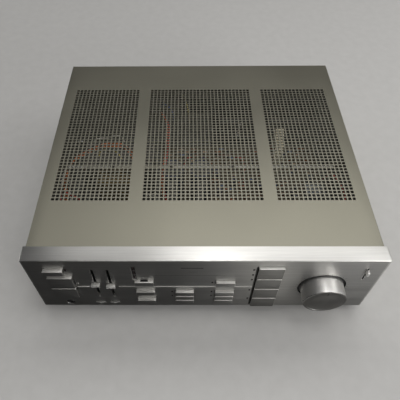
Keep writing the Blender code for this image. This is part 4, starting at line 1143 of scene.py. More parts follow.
def trim_bars():
    mesh = bmesh.new()
    rib_z = down(64.4) + 1.3
    rib(mesh, SPEAKER_GROUP.x1 + 1.6, SLIDERS["bass"][0] - 8.6, rib_z)
    rib(mesh, SLIDERS["treble"][0] + 9.0, SELECTOR_GROUP.x0 - 2.6, rib_z)
    finish_mesh("divider_rib", mesh, ALU_SLIDER, "faceplate_aluminium")

    # black strip beside the source selector: painted shade for the dark gap at the opening's left
    # edge
    mesh = bmesh.new()
    box = SELECTOR_GROUP
    block(mesh, box.x0 - 2.1, box.x0 - 0.75, FACE_Y - 0.12, FACE_Y + 0.2, box.z0 - 0.3,
          box.z1 + 0.3, 0.1, 1)
    finish_mesh("selector_gap_painted_shade", mesh, BLACK, "black_plastic")


def lamps():
    """Unlit lamps: lens in a thin black surround, and one small round clear lens."""
    # centre x, centre z, half width, half height
    places = [(SELECTOR_GROUP.x0 - 4.6, down(d), 0.9, 1.6)
              for d in (20.8, 32.9, 44.8, 72.1, 96.0)]
    for name in ("mode", "cartridge", "adaptor", "tape_1", "tape_2"):
        box = cap_box(name + "_button")
        places.append((box.x0 - 4.1, box.mid_z + 0.6, 0.8, 1.5))
    power = cap_box("power_button")
    places.append((power.x1 + 2.7, power.mid_z + 2.6, 1.2, 2.6))
    # name, growth round the lens, front y, rear y, look, slot
    layers = (
        ("front_lamp_surrounds", 0.35, FACE_Y - 0.10, FACE_Y + 0.2, BLACK, "black_plastic"),
        ("front_lamp_lenses", 0.0, FACE_Y - 0.38, FACE_Y + 0.1, LAMP, "smoked_plastic"),
    )
    for name, grow, front, back, look, slot in layers:
        mesh = bmesh.new()
        for x, z, half_w, half_h in places:
            radius = min(half_w, half_h) * 0.55 + grow * 0.5
            box = Box(x - half_w - grow, x + half_w + grow, front, back,
                      z - half_h - grow, z + half_h + grow)
            edge = ((0.22, front), (0.06, front + 0.06), (0.0, front + 0.18), (0.0, back))
            loft(mesh, inset_rings(box, [(i, i, radius - i * 0.5, y) for i, y in edge], 4))
        finish_mesh(name, mesh, look, slot, sharp=50)
    mesh = bmesh.new()
    rows = [(FACE_Y - 0.75, 0.05), (FACE_Y - 0.72, 0.45), (FACE_Y - 0.55, 0.80),
            (FACE_Y - 0.2, 1.0), (FACE_Y + 0.2, 1.0)]
    lathe(mesh, "y", (SPEAKER_GROUP.x1 + 4.2, down(54.6)), rows, 24)
    finish_mesh("speaker_lamp_lens", mesh, LAMP_CLEAR, "smoked_plastic", sharp=60)


def printed_scales():
    """Thin films of ink, without lettering."""
    ink_front, ink_back = FACE_Y - 0.02, FACE_Y + 0.1
    stroke = 0.13  # half height of a scale stroke
    mesh = bmesh.new()

    def mark(x0, x1, z0, z1):
        block(mesh, x0, x1, ink_front, ink_back, z0, z1)

    for x, low, high in SLIDERS.values():
        for k in range(11):
            z = low + 4.0 + (high - low - 8.0) * k / 10
            width = 2.6 if k in (0, 5, 10) else 1.7
            for sign in (-1, 1):
                mark(x + sign * 2.6, x + sign * (2.6 + width), z - stroke, z + stroke)
    for box in TURNOVERS.values():
        for dx in (-3.4, 3.4):
            mark(box.mid_x + dx - 0.15, box.mid_x + dx + 0.15, box.z1 + 1.5, box.z1 + 3.2)
    for k in range(9):
        z = WINDOW.z0 + 2.6 + (WINDOW.z1 - WINDOW.z0 - 5.2) * k / 8
        mark(WINDOW.x0 - (2.6 if k % 4 == 0 else 1.8), WINDOW.x0 - 0.6, z - stroke, z + stroke)
    for k in range(7):
        z = down(19.5 + 23.0 * k / 6)
        for sign in (-1, 1):
            reach = 4.6 if k in (0, 3, 6) else 3.7
            mark(BALANCE.mid_x + sign * 2.6, BALANCE.mid_x + sign * reach,
                 z - stroke, z + stroke)
    # volume scale: fine strokes round the well
    half = 0.16
    for k in range(31):
        angle = math.radians(-150 + 10 * k)
        start, end = WELL_R + 1.6, WELL_R + (4.2 if k % 5 == 0 else 3.0)
        out_x, out_z = math.sin(angle), math.cos(angle)
        corners = [(VOLUME_AXIS[0] + r * out_x + w * out_z, VOLUME_AXIS[1] + r * out_z - w * out_x)
                   for r, w in ((start, -half), (start, half), (end, half), (end, -half))]
        loft(mesh, [[(x, y, z) for x, z in corners] for y in (ink_front, ink_back)])
    # rules: a long one, a short heavy one above it and a short thin one between
    mark(-64.0, 25.0, down(34.5), down(34.2))
    mark(-27.0, -1.0, down(17.6), down(16.2))
    mark(-18.0, -8.0, down(26.4), down(26.0))
    finish_mesh("printed_scales", mesh, INK, "black_plastic")


def indicator():
    """Three-cell window: smoked front, dark cells, thin grey bars between."""
    front, flange_y = WINDOW.y0, PLATE_Y + 0.3
    glass = WINDOW._replace(x0=WINDOW.x0 + 1.5, x1=WINDOW.x1 - 0.7,
                            z0=WINDOW.z0 + 1.3, z1=WINDOW.z1 - 1.3)
    mesh = bmesh.new()
    loft(mesh, inset_rings(glass, [(0.3, 0.3, 0.3, front), (0, 0, 0.3, front + 0.3),
                                   (0, 0, 0.3, flange_y)])
         + inset_rings(WINDOW, [(0, 0, 0.3, flange_y), (0, 0, 0.3, WINDOW.y1)]))
    finish_mesh("indicator_window_lens", mesh, SMOKED, "smoked_plastic",
                replaces="indicator_window")
    height = (glass.z1 - glass.z0) / 3
    mesh = bmesh.new()
    for k in (1, 2):
        z = glass.z0 + height * k
        block(mesh, glass.x0 + 0.1, glass.x1 - 0.1, front - 0.06, front + 0.1,
              z - 0.35, z + 0.35, 0.05, 1)
    finish_mesh("indicator_cell_bars", mesh, GREY_PLASTIC, "black_plastic")
    mesh = bmesh.new()
    for k in range(3):
        z = glass.z0 + height * k
        block(mesh, glass.x0 + 0.8, glass.x1 - 0.8, front - 0.03, front + 0.1,
              z + 0.9, z + height - 0.9, 0.02, 1)
    finish_mesh("indicator_cells", mesh, LAMP, "smoked_plastic")


def headphone_jack():
    """Headphone socket: black ring with a matt lining and a plated contact deep inside."""
    front, back = JACK.y0, JACK.y1
    rows = [(front + 0.5, 3.25), (front + 0.12, 3.45), (front, 3.75), (front, 4.35),
            (front + 0.14, 4.75), (front + 0.45, 5.05), (front + 0.8, 5.15), (13.0, 5.15),
            (13.0, 4.55), (17.2, 4.55), (17.2, 6.1), (back - 0.5, 6.1), (back, 5.7),
            (back, 3.3)]
    mesh = bmesh.new()
    lathe(mesh, "y", JACK_AXIS, rows, 48, closed=True)
    for face in mesh.faces:
        centre = face.calc_center_median()
        radius = math.hypot(centre.x - JACK_AXIS[0], centre.z - JACK_AXIS[1])
        if radius < 3.3 or centre.y > 5:
            face.material_index = 1
    finish_mesh("headphone_socket", mesh, [BLACK, BLACK_MATT], "black_plastic",
                replaces="headphone_jack", sharp=40)
    mesh = bmesh.new()
    # the contact deep in the socket is near-black plated steel: painted shade
    lathe(mesh, "y", JACK_AXIS, [(9.0, 0.05), (9.0, 2.4), (9.2, 2.7), (12.0, 2.7)], 24)
    finish_mesh("headphone_socket_contact", mesh, ZINC_SHADE, "screw_steel", sharp=40)


trim_bars()
lamps()
printed_scales()
indicator()
headphone_jack()


# ---------------------------------------------------------------------------------------------
# Cover screws and feet
# ---------------------------------------------------------------------------------------------
def cover_screw(node, sign):
    """Screw in the cover's side with a dished washer; sign is -1 left, 1 right."""
    box = cad_box(node)
    face = COVER_BOX.x1 + 0.3
    mesh = bmesh.new()
    screw(mesh, (sign * face, box.mid_y, box.mid_z), (sign, 0, 0),
          (box.z1 - box.z0) / 2 - 0.02, max(abs(box.x0), abs(box.x1)) - face,
          shank=(2.0, 9.6), turn=0.4 if sign > 0 else 1.1)
    finish_mesh(node + "_body", mesh, SCREW, "screw_steel", replaces=node, sharp=40)
    # out from the cover's side, radius
    washer = ((0.02, 2.4), (0.02, 5.2), (0.28, 5.1), (0.55, 4.6), (0.29, 2.4))
    mesh = bmesh.new()
    lathe(mesh, "x", (box.mid_y, box.mid_z),
          [(sign * (COVER_BOX.x1 + out), radius) for out, radius in washer], 48, closed=True)
    finish_mesh(node + "_washer", mesh, BLACK, "black_plastic", sharp=30)


def foot(node):
    """Round stepped foot with a rubber ring and a screw from below."""
    box = cad_box(node)
    at = (box.mid_x, box.mid_y)
    rim = (box.x1 - box.x0) / 2
    top = COVER_BOX.z0 - 0.3
    # z, radius: from the screw's recess over the rubber ring and up the side to the stud
    rows = [
        (5.5, 0.02), (5.5, 4.4), (5.2, 5.0), (0.9, 5.6), (0.3, 6.0), (0.0, 6.8),
        (0.0, rim - 6.6), (0.25, rim - 5.9), (0.8, rim - 5.4), (2.2, rim - 4.9),
        (2.6, rim - 4.9), (2.6, rim - 4.2), (3.0, rim - 3.5), (3.5, rim - 3.1),
        (6.0, rim - 2.5), (9.0, rim - 1.8), (9.2, rim - 2.2), (9.8, rim - 2.2),
        (10.0, rim - 1.5), (top - 1.0, rim - 0.5), (top - 0.5, rim - 0.15), (top - 0.1, rim),
        (top, rim), (top, 2.2), (box.z1 - 0.4, 2.2), (box.z1, 1.8),
    ]
    mesh = bmesh.new()
    lathe(mesh, "z", at, rows, 72)
    for face in mesh.faces:
        centre = face.calc_center_median()
        if centre.z < 2.5 and math.hypot(centre.x - at[0], centre.y - at[1]) > 5.0:
            face.material_index = 1
    finish_mesh(node + "_body", mesh, [BLACK, RUBBER], "foot_rubber", replaces=node, sharp=32)
    mesh = bmesh.new()
    screw(mesh, (*at, 5.4), (0, 0, -1), 3.6, 2.0)
    finish_mesh(node + "_screw", mesh, SCREW, "screw_steel", sharp=40)


for side, sign in (("left", -1), ("right", 1)):
    for where in ("front", "rear"):
        cover_screw("cover_screw_%s_%s" % (side, where), sign)
for side in ("left", "right"):
    for where in ("front", "rear"):
        foot("foot_%s_%s" % (where, side))

# ---------------------------------------------------------------------------------------------
# Rear
# ---------------------------------------------------------------------------------------------
REAR_SCREWS = ([(x, down(8.0)) for x in (-196.0, -120.0, -40.0, 40.0, 120.0, 196.0)]
               + [(x, REAR.z0 + 5.5) for x in (-196.0, -98.0, 0.0, 98.0, 196.0)]
               + [(196.0, down(60.0))])
REAR_VENTS = [-130.0 + k * 7.0 for k in range(12)]


def rear_panel():
    back, front = REAR.y1, REAR.y0
    mesh = bmesh.new()
    edge = 0.15
    rings = loft(mesh, inset_rings(REAR, [(edge, edge, 0.6, back), (0, 0, 0.75, back - edge),
                                          (0, 0, 0.75, front)], 2), caps=(False, False))
    loops = ([], [])

    def hole(outline):
        punch(mesh, outline, back, front, 0.12, loops)

    for box in (INPUTS, TERMINALS):
        hole(lambda grow, y: inset_rings(box, [(6 - grow, 4 - grow, 2.0, y)])[0])
    hole(lambda grow, y: circle("y", RELIEF_AXIS, y, 7.0 + grow, 32))
    for x in REAR_VENTS:
        hole(lambda grow, y: rounded_rect(x - 1.6 - grow, x + 1.6 + grow, down(48.0) - grow,
                                          down(18.0) + grow, 1.6 + grow, y, 6))
    fill_between(mesh, rings[0], loops[0])
    fill_between(mesh, rings[-1], loops[1])
    finish_mesh("rear_panel_body", mesh, ZINC, "zinc_steel", replaces="rear_panel", sharp=30)

    mesh = bmesh.new()
    for i, (x, z) in enumerate(REAR_SCREWS):
        screw(mesh, (x, back + 0.02, z), (0, 1, 0), 3.1, 1.9, turn=0.7 * i)
    finish_mesh("rear_panel_screws", mesh, SCREW, "screw_steel", sharp=40)


def rear_rules():
    """Printed frames round the socket groups, and one short rule."""
    mesh = bmesh.new()

    def rule(x0, x1, z0, z1):
        block(mesh, x0, x1, REAR.y1 - 0.05, REAR.y1 + 0.03, z0, z1)

    width = 0.45
    for box in (INPUTS, TERMINALS):
        left, right, low, high = box.x0 - 5, box.x1 + 5, box.z0 - 5, box.z1 + 5
        rule(left, right, high - width, high)
        rule(left, right, low, low + width)
        rule(left, left + width, low + width, high - width)
        rule(right - width, right, low + width, high - width)
    rule(-190.0, -150.0, down(104.6), down(104.0))
    finish_mesh("rear_printed_rules", mesh, INK, "black_plastic")


def ground_post():
    """Stud with a knurled nut, left of the input sockets seen from the front."""
    x, z = INPUTS.x0 - 11.0, down(40.0)
    count = 60
    # out from the panel, radius, depth of the knurl
    stations = ((0, 2.0, 0), (1.4, 2.0, 0), (1.4, 3.6, 0), (1.8, 3.9, 0.05), (2.1, 4.0, 0.28),
                (6.2, 4.0, 0.28), (6.6, 3.8, 0.05), (6.9, 3.3, 0), (6.9, 1.5, 0),
                (9.0, 1.5, 0), (9.4, 1.1, 0))
    rings = []
    for out, radius, depth in stations:
        ring = []
        for i in range(count):
            angle = 2 * math.pi * i / count
            reach = radius - (depth if i % 2 else 0)
            ring.append((x + reach * math.cos(angle), REAR.y1 + out, z + reach * math.sin(angle)))
        rings.append(ring)
    mesh = bmesh.new()
    loft(mesh, rings)
    finish_mesh("ground_post", mesh, NICKEL, "screw_steel", sharp=30)


def input_jacks():
    """Six columns of two plated sockets on a black plate."""
    x0, x1, front, back, z0, z1 = INPUTS
    plate = REAR.y1 + 2.6  # the plate's rear surface
    behind = REAR.y1 + 0.3
    columns = [x0 + 14.0 + c * (x1 - x0 - 28.0) / 5 for c in range(6)]
    rows = (down(48.0), down(82.0))
    mesh = bmesh.new()
    rings = loft(mesh, inset_rings(INPUTS, [
        (0.5, 0.5, 1.6, plate), (0.15, 0.15, 1.9, plate - 0.15), (0, 0, 2.0, plate - 0.5),
        (0, 0, 2.0, behind), (6.5, 4.5, 1.5, behind), (6.5, 4.5, 1.5, front)], 4),
        caps=(False, True))
    places = [(x, z) for x in columns for z in rows]
    holes = [lathe(mesh, "y", at, [(plate, 5.7), (plate - 0.5, 5.5)], 40, caps=(False, False))
             for at in places]
    for hole in holes:
        mesh.faces.new(hole[-1])
    fill_between(mesh, rings[0], [hole[0] for hole in holes])
    finish_mesh("input_jack_plate", mesh, BLACK, "black_plastic", replaces="input_jack_panel",
                sharp=30)

    # profiles (y, radius) of the metal shell, the coloured insert and the contact inside
    shell = [(plate - 0.5, 5.2), (plate + 0.5, 5.2), (plate + 0.75, 4.9), (plate + 0.8, 4.25),
             (back - 0.35, 4.15), (back - 0.05, 3.95), (back, 3.75), (back - 0.25, 3.45),
             (plate - 0.5, 3.45)]
    insert = [(plate - 0.4, 3.4), (back - 0.9, 3.4), (back - 0.7, 3.2), (back - 0.7, 1.9),
              (back - 1.0, 1.65), (plate - 0.4, 1.65)]
    contact = [(plate + 0.2, 0.05), (plate + 0.2, 1.5), (plate, 1.6), (plate - 0.4, 1.6)]
    metal = bmesh.new()
    inserts = (bmesh.new(), bmesh.new())
    for i, at in enumerate(places):
        lathe(metal, "y", at, shell, 40, closed=True)
        lathe(inserts[i % 2], "y", at, insert, 32, closed=True)
        lathe(metal, "y", at, contact, 20)
    finish_mesh("input_socket_shells", metal, NICKEL, "screw_steel")
    finish_mesh("input_socket_inserts_left", inserts[0], WHITE_PLASTIC, "black_plastic")
    finish_mesh("input_socket_inserts_right", inserts[1], RED_PLASTIC, "black_plastic")
    mesh = bmesh.new()
    for x in (x0 + 4.0, (x0 + x1) / 2, x1 - 4.0):
        screw(mesh, (x, plate + 0.02, down(65.0)), (0, 1, 0), 2.4, 1.6, turn=x)
    finish_mesh("input_plate_screws", mesh, SCREW, "screw_steel", sharp=40)
    # thin white bars between the columns
    mesh = bmesh.new()
    for a, b in zip(columns, columns[1:]):
        x = (a + b) / 2
        block(mesh, x - 0.2, x + 0.2, plate - 0.05, plate + 0.03, z0 + 8, z1 - 8)
    finish_mesh("input_plate_rules", mesh, INK_WHITE, "black_plastic")


def speaker_terminals():
    """Four columns of two fluted screw caps in a black block."""
    x0, x1, front, back, _, _ = TERMINALS
    body = REAR.y1 + 9.0  # the block's rear surface
    behind = REAR.y1 + 0.3
    columns = [x0 + 12.0 + c * (x1 - x0 - 24.0) / 3 for c in range(4)]
    rows = (down(70.5), down(89.5))
    mesh = bmesh.new()
    rings = loft(mesh, inset_rings(TERMINALS, [
        (1.8, 1.8, 1.4, body), (1.24, 1.24, 1.9, body - 0.24), (0.9, 0.9, 2.2, body - 0.8),
        (0, 0, 2.4, REAR.y1 + 2.6), (0, 0, 2.4, behind), (6.5, 4.5, 1.5, behind),
        (6.5, 4.5, 1.5, front)], 4), caps=(False, True))
    holes = []
    for x in columns:
        for z in rows:
            hole = lathe(mesh, "y", (x, z), [(body, 7.6), (body - 0.3, 7.3), (body - 1.6, 7.2)],
                         48, caps=(False, False))
            holes.append(hole[0])
            mesh.faces.new(hole[-1])
    fill_between(mesh, rings[0], holes)
    finish_mesh("speaker_terminal_body", mesh, BLACK, "black_plastic",
                replaces="speaker_terminal_block", sharp=30)

    count = 72
    base = body - 1.4
    # y, radius, depth of the 18 flutes
    fluted = ((base, 5.9, 0), (base + 2.0, 5.95, 0), (base + 2.4, 6.15, 0.05),
              (base + 2.9, 6.2, 0.55), (back - 1.2, 6.2, 0.55), (back - 0.5, 6.0, 0.35),
              (back - 0.1, 5.5, 0.1), (back, 5.0, 0), (back, 3.3, 0), (back - 0.8, 3.0, 0),
              (back - 2.5, 2.9, 0))
    post = [(back - 2.4, 2.6), (back - 1.0, 2.6), (back - 0.7, 2.3), (back - 0.7, 1.2),
            (back - 1.6, 1.0)]
    caps = (bmesh.new(), bmesh.new())
    metal = bmesh.new()
    for column, x in enumerate(columns):
        for z in rows:
            rings = []
            for y, radius, depth in fluted:
                ring = []
                for i in range(count):
                    angle = 2 * math.pi * i / count
                    reach = radius - depth * (0.5 + 0.5 * math.cos(18 * angle))
                    ring.append((x + reach * math.cos(angle), y, z + reach * math.sin(angle)))
                rings.append(ring)
            loft(caps[column % 2], rings)
            lathe(metal, "y", (x, z), post, 32)
    finish_mesh("speaker_terminal_caps_black", caps[0], GREY_PLASTIC, "black_plastic", sharp=32)
    finish_mesh("speaker_terminal_caps_red", caps[1], RED_PLASTIC, "black_plastic", sharp=32)
    finish_mesh("speaker_terminal_posts", metal, NICKEL, "screw_steel")


rear_panel()
rear_rules()
ground_post()
input_jacks()
speaker_terminals()

# ---------------------------------------------------------------------------------------------
# Mains cord: out of the panel, bent down, wound into an upright coil behind the unit
# ---------------------------------------------------------------------------------------------
CORD_R = 3.2
CORD_PITCH = 2 * CORD_R + 0.7
CORD_OUT = cad_box("mains_cord").y1
COIL_HALF_H = 27.0
COIL_HALF_L = 50.0
COIL_X = RELIEF_AXIS[0] + 4.0 + COIL_HALF_L
COIL_Z = 0.4 + CORD_R + COIL_HALF_H


def cord_path():
    x, z = RELIEF_AXIS
    outer_y = CORD_OUT - CORD_R
    bend_y = 374.0
    bend_r = outer_y - bend_y
    points = [Vector((x, y, z)) for y in (352.0, 360.0, 368.0, bend_y)]
    for i in range(1, 25):
        angle = math.radians(90.0 * i / 24)
        points.append(Vector((x, bend_y + bend_r * math.sin(angle),
                              z - bend_r * (1 - math.cos(angle)))))
    straight, arc = 2 * (COIL_HALF_L - COIL_HALF_H), math.pi * COIL_HALF_H
    total = 2 * straight + 2 * arc

    def stadium(s):
        """Point (x, z) at length s round the coil: two half circles and two straights."""
        s = s % total
        if s < arc:
            angle = math.pi / 2 + s / COIL_HALF_H
            return (COIL_X - straight / 2 + COIL_HALF_H * math.cos(angle),
                    COIL_Z + COIL_HALF_H * math.sin(angle))
        s -= arc
        if s < straight:
            return COIL_X - straight / 2 + s, COIL_Z - COIL_HALF_H
        s -= straight
        if s < arc:
            angle = -math.pi / 2 + s / COIL_HALF_H
            return (COIL_X + straight / 2 + COIL_HALF_H * math.cos(angle),
                    COIL_Z + COIL_HALF_H * math.sin(angle))
        s -= arc
        return COIL_X + straight / 2 - s, COIL_Z + COIL_HALF_H

    length = 2.0 * total + arc + straight
    steps = 336
    for i in range(1, steps + 1):
        wound = length * i / steps
        coil_x, coil_z = stadium(arc * 0.5 + wound)
        points.append(Vector((coil_x, outer_y - CORD_PITCH * wound / total, coil_z)))
    last = points[-1]
    for i in range(1, 5):
        points.append(Vector((last.x + 0.6 * i, last.y + 0.9 * i, last.z + 5.0 * i)))
    # even out the kinks where the runs meet
    for _ in range(14):
        inner = [(a + b * 2 + c) / 4 for a, b, c in zip(points, points[1:], points[2:])]
        points = [points[0]] + inner + [points[-1]]
    return points


def mains_plug(end, ahead):
    """Moulded plug with a ribbed bend relief and two flat pins."""
    side = Vector((1.0, 0.0, 0.0))
    side = (side - ahead * side.dot(ahead)).normalized()
    up = ahead.cross(side)
    count = 40

    def ring(along, half_w, half_h, power=2.6):
        """Superellipse; power 2 is an ellipse, more is squarer."""
        points = []
        for k in range(count):
            angle = 2 * math.pi * k / count
            cos, sin = math.cos(angle), math.sin(angle)
            reach = (abs(cos) ** power + abs(sin) ** power) ** (-1 / power)
            points.append(tuple(end + ahead * along + side * (half_w * reach * cos)
                                + up * (half_h * reach * sin)))
        return points

    rings = [ring(-0.5, 2.6, 2.6, 2.0), ring(-0.5, 3.6, 3.6, 2.0)]
    for k in range(5):
        start, grow = 0.4 + k * 1.7, 0.25 * k
        for along, radius in ((0.0, 3.9), (1.0, 4.0), (1.15, 3.4), (1.6, 3.4)):
            rings.append(ring(start + along, radius + grow, radius + grow, 2.0))
    rings.append(ring(9.2, 5.6, 5.0, 2.2))
    # along the plug, half width, half height
    for station in ((10.5, 8.4, 6.0), (13.0, 10.4, 6.5), (14.5, 10.8, 6.6), (19.0, 10.4, 6.2),
                    (22.0, 10.4, 6.2), (28.0, 10.9, 6.5), (30.4, 10.9, 6.5), (31.2, 10.6, 6.2),
                    (31.5, 9.8, 5.6)):
        rings.append(ring(*station))
    mesh = bmesh.new()
    loft(mesh, rings)
    finish_mesh("mains_plug", mesh, CORD_JACKET, "cord_rubber")

    mesh = bmesh.new()
    for offset in (-6.35, 6.35):
        centre = end + side * offset
        sections = []
        for along, taper in ((30.5, 0.0), (46.0, 0.0), (47.2, 0.45)):
            half_w, half_h = 0.75 - taper * 0.6, 3.1 - taper
            sections.append([tuple(centre + ahead * along + side * a + up * b)
                             for a, b in ((-half_w, -half_h), (half_w, -half_h),
                                          (half_w, half_h), (-half_w, half_h))])
        loft(mesh, sections)
    finish_mesh("mains_plug_pins", mesh, BRASS, "screw_steel")


def cord_tie():
    """Flat tie round the strands at the coil's top, its ends twisted together."""
    y0, y1 = CORD_OUT - 3 * CORD_PITCH - 0.1, CORD_OUT - 0.02
    z0, z1 = COIL_Z + COIL_HALF_H - CORD_R, COIL_Z + COIL_HALF_H + CORD_R
    corner = 2.4

    def loop(x, inset):
        points = []
        for y, z, start in ((y1 - corner, z1 - corner, 0), (y0 + corner, z1 - corner, 90),
                            (y0 + corner, z0 + corner, 180), (y1 - corner, z0 + corner, 270)):
            for i in range(6):
                angle = math.radians(start + 90 * i / 5)
                points.append((x, y + (corner - inset) * math.cos(angle),
                               z + (corner - inset) * math.sin(angle)))
        return points

    left, right = COIL_X - 4.0, COIL_X + 3.0
    mesh = bmesh.new()
    loft(mesh, [loop(left, 0.0), loop(right, 0.0), loop(right, 0.3), loop(left, 0.3)],
         closed=True)
    for phase in (0.0, math.pi):
        path = [(COIL_X - 0.5 + 0.9 * math.cos(phase + i * 0.7),
                 y0 + 2.0 - 0.24 * i + 0.9 * math.sin(phase + i * 0.7), z1 - 0.4 + i * 1.0)
                for i in range(11)]
        tube(mesh, path, 0.55, 8)
    finish_mesh("mains_cord_tie", mesh, BLACK, "black_plastic", sharp=40)


def mains_cord():
    points = cord_path()
    mesh = bmesh.new()
    tube(mesh, points, CORD_R - 0.35, 18)
    finish_mesh("mains_cord_jacket", mesh, CORD_JACKET, "cord_rubber", replaces="mains_cord",
                sharp=50)
    mains_plug(points[-1], (points[-1] - points[-3]).normalized())
    cord_tie()


def strain_relief():
    """Flanged bush in the panel with a ribbed, tapering tail."""
    panel = REAR.y1
    bore = CORD_R + 0.3
    rows = [(RELIEF.y0, bore), (RELIEF.y0, 6.0), (REAR.y0 - 0.3, 6.6), (panel + 0.3, 6.6),
            (panel + 0.3, 9.1), (panel + 0.6, 9.4), (panel + 2.0, 9.3), (panel + 2.4, 8.9),
            (panel + 2.4, 7.2)]
    for k in range(4):
        y, taper = panel + 2.9 + k * 1.6, 0.45 * k
        rows += [(y, 7.0 - taper), (y + 0.8, 6.85 - taper), (y + 0.95, 6.2 - taper),
                 (y + 1.35, 6.1 - taper)]
    rows += [(RELIEF.y1, 5.0), (RELIEF.y1, bore)]
    mesh = bmesh.new()
    lathe(mesh, "y", RELIEF_AXIS, rows, 48, closed=True)
    finish_mesh("cord_strain_relief_body", mesh, BLACK, "black_plastic",
                replaces="cord_strain_relief")


mains_cord()
strain_relief()


# ---------------------------------------------------------------------------------------------
# Inside, seen through the cover's holes
# ---------------------------------------------------------------------------------------------
def capacitor(node):
    box = cad_box(node)
    x, y, z0, z1 = box.mid_x, box.mid_y, box.z0, box.z1
    rim = (box.x1 - box.x0) / 2
    # z, radius: up the side, over the groove near the top and in to the sunken top
    rows = [(z0, rim - 1.2), (z0 + 0.3, rim - 0.5), (z0 + 1.0, rim - 0.05), (z0 + 1.6, rim),
            (z1 - 5.4, rim), (z1 - 4.8, rim - 0.6), (z1 - 4.2, rim - 0.8),
            (z1 - 3.6, rim - 0.6), (z1 - 3.0, rim - 0.02), (z1 - 1.2, rim),
            (z1 - 0.5, rim - 0.2), (z1 - 0.1, rim - 0.8), (z1, rim - 1.4), (z1, rim - 2.6),
            (z1 - 0.3, rim - 2.9), (z1 - 0.5, rim - 3.2), (z1 - 0.5, 0.02)]
    mesh = bmesh.new()
    lathe(mesh, "z", (x, y), rows, 64)
    for face in mesh.faces:
        centre = face.calc_center_median()
        if centre.z > z1 - 0.6 and math.hypot(centre.x - x, centre.y - y) < rim - 2.8:
            face.material_index = 1
    finish_mesh(node + "_can", mesh, [SLEEVE, CAN_TOP], "capacitor_sleeve", replaces=node)

    # three crossed ridges on top
    reach, half = rim - 5.0, 0.35
    mesh = bmesh.new()
    for degrees in (0, 60, 120):
        cos, sin = math.cos(math.radians(degrees)), math.sin(math.radians(degrees))
        corners = [(x + a * cos - b * sin, y + a * sin + b * cos)
                   for a, b in ((reach, half), (-reach, half), (-reach, -half), (reach, -half))]
        loft(mesh, [[(*p, z) for p in corners] for z in (z1 - 0.55, z1 - 0.2)])
    finish_mesh(node + "_vent_ridges", mesh, CAN_TOP, "capacitor_sleeve")

    # light stripe up the front of the sleeve
    def arc(radius):
        angles = [math.radians(250 + 5 * i) for i in range(9)]
        return [(x + radius * math.cos(a), y + radius * math.sin(a)) for a in angles]

    outline = arc(rim + 0.06) + arc(rim - 0.1)[::-1]
    mesh = bmesh.new()
    loft(mesh, [[(*p, z) for p in outline] for z in (z0 + 3, z1 - 7)])
    finish_mesh(node + "_stripe", mesh, INK_WHITE, "capacitor_sleeve", sharp=50)


def transformer():
    """Clamp bars and four bolts round the core, solder tags on top of the coil."""
    core = cad_box("power_transformer_core")
    coil = cad_box("power_transformer_coil")
    mesh = bmesh.new()
    for y0, y1 in ((core.y0 - 1.6, core.y0 - 0.1), (core.y1 + 0.1, core.y1 + 1.6)):
        for z0, z1 in ((core.z0 + 1, core.z0 + 13), (core.z1 - 13, core.z1 - 1)):
            block(mesh, core.x0 + 1, core.x1 - 1, y0, y1, z0, z1, 0.4)
    finish_mesh("transformer_clamps", mesh, ZINC, "transformer_steel")
    mesh = bmesh.new()
    for x in (core.x0 + 7, core.x1 - 7):
        for z in (core.z0 + 7, core.z1 - 7):
            screw(mesh, (x, core.y0 - 1.58, z), (0, -1, 0), 3.6, 2.4)
            lathe(mesh, "y", (x, z), [(core.y1 + 1.55, 4.2), (core.y1 + 4.4, 4.2)], 6)
    finish_mesh("transformer_bolts", mesh, SCREW, "screw_steel")
    mesh = bmesh.new()
    top = coil.z1
    for i in range(7):
        x = coil.x0 + 10 + i * (coil.x1 - coil.x0 - 20) / 6
        for y in (coil.y0 + 6.5, coil.y1 - 6.5):
            block(mesh, x - 1.2, x + 1.2, y - 0.3, y + 0.3, top - 0.5, top + 5.0, 0.1, 1)
            tube(mesh, [(x, y, top + 3.0), (x + 0.6, y + 0.8, top + 3.2),
                        (x + 0.8, y + 1.6, top + 3.0)], 0.5, 6)
    finish_mesh("transformer_tags", mesh, SOLDER, "screw_steel")


BOARD_BOX = cad_box("main_amplifier_board")
BOARD_Z = BOARD_BOX.z1


def resistor(meshes, x, y):
    z = BOARD_Z + 1.5
    body = ((-3.2, 0.6), (-3.0, 1.05), (-2.3, 1.15), (-1.8, 0.95), (1.8, 0.95), (2.3, 1.15),
            (3.0, 1.05), (3.2, 0.6))
    lathe(meshes["resistor"], "x", (y, z), [(x + dx, radius) for dx, radius in body], 12)
    for dx in (-1.2, -0.4, 0.4, 1.5):
        lathe(meshes["band"], "x", (y, z), [(x + dx - 0.16, 0.99), (x + dx + 0.16, 0.99)], 12)
    for sign in (-1, 1):
        tube(meshes["wire"], [(x + sign * 3.1, y, z), (x + sign * 4.4, y, z),
                              (x + sign * 5.0, y, z - 0.3), (x + sign * 5.1, y, z - 1.8)],
             0.32, 6)


def small_can(meshes, x, y, radius, height):
    z = BOARD_Z
    top = z + height
    rows = [(z + 0.3, radius - 0.4), (z + 0.6, radius), (z + 1.4, radius),
            (z + 1.8, radius - 0.3), (z + 2.2, radius), (top - 0.6, radius),
            (top - 0.15, radius - 0.3), (top, radius - 0.8), (top - 0.2, radius - 1.0),
            (top - 0.2, 0.02)]
    lathe(meshes["can"], "z", (x, y), rows, 24)


def transistor(meshes, x, y):
    z = BOARD_Z
    outline = [(2.4 * math.cos(math.radians(a)), 2.0 * math.sin(math.radians(a)))
               for a in range(-30, 211, 20)]
    loft(meshes["transistor"], [[(x + dx * size, y + dy * size, level) for dx, dy in outline]
                                for level, size in ((z + 3.6, 1), (z + 8.0, 1), (z + 8.3, 0.9))])
    for dx in (-1.27, 0, 1.27):
        tube(meshes["wire"], [(x + dx, y, z + 3.8), (x + dx, y, z - 0.2)], 0.28, 5)


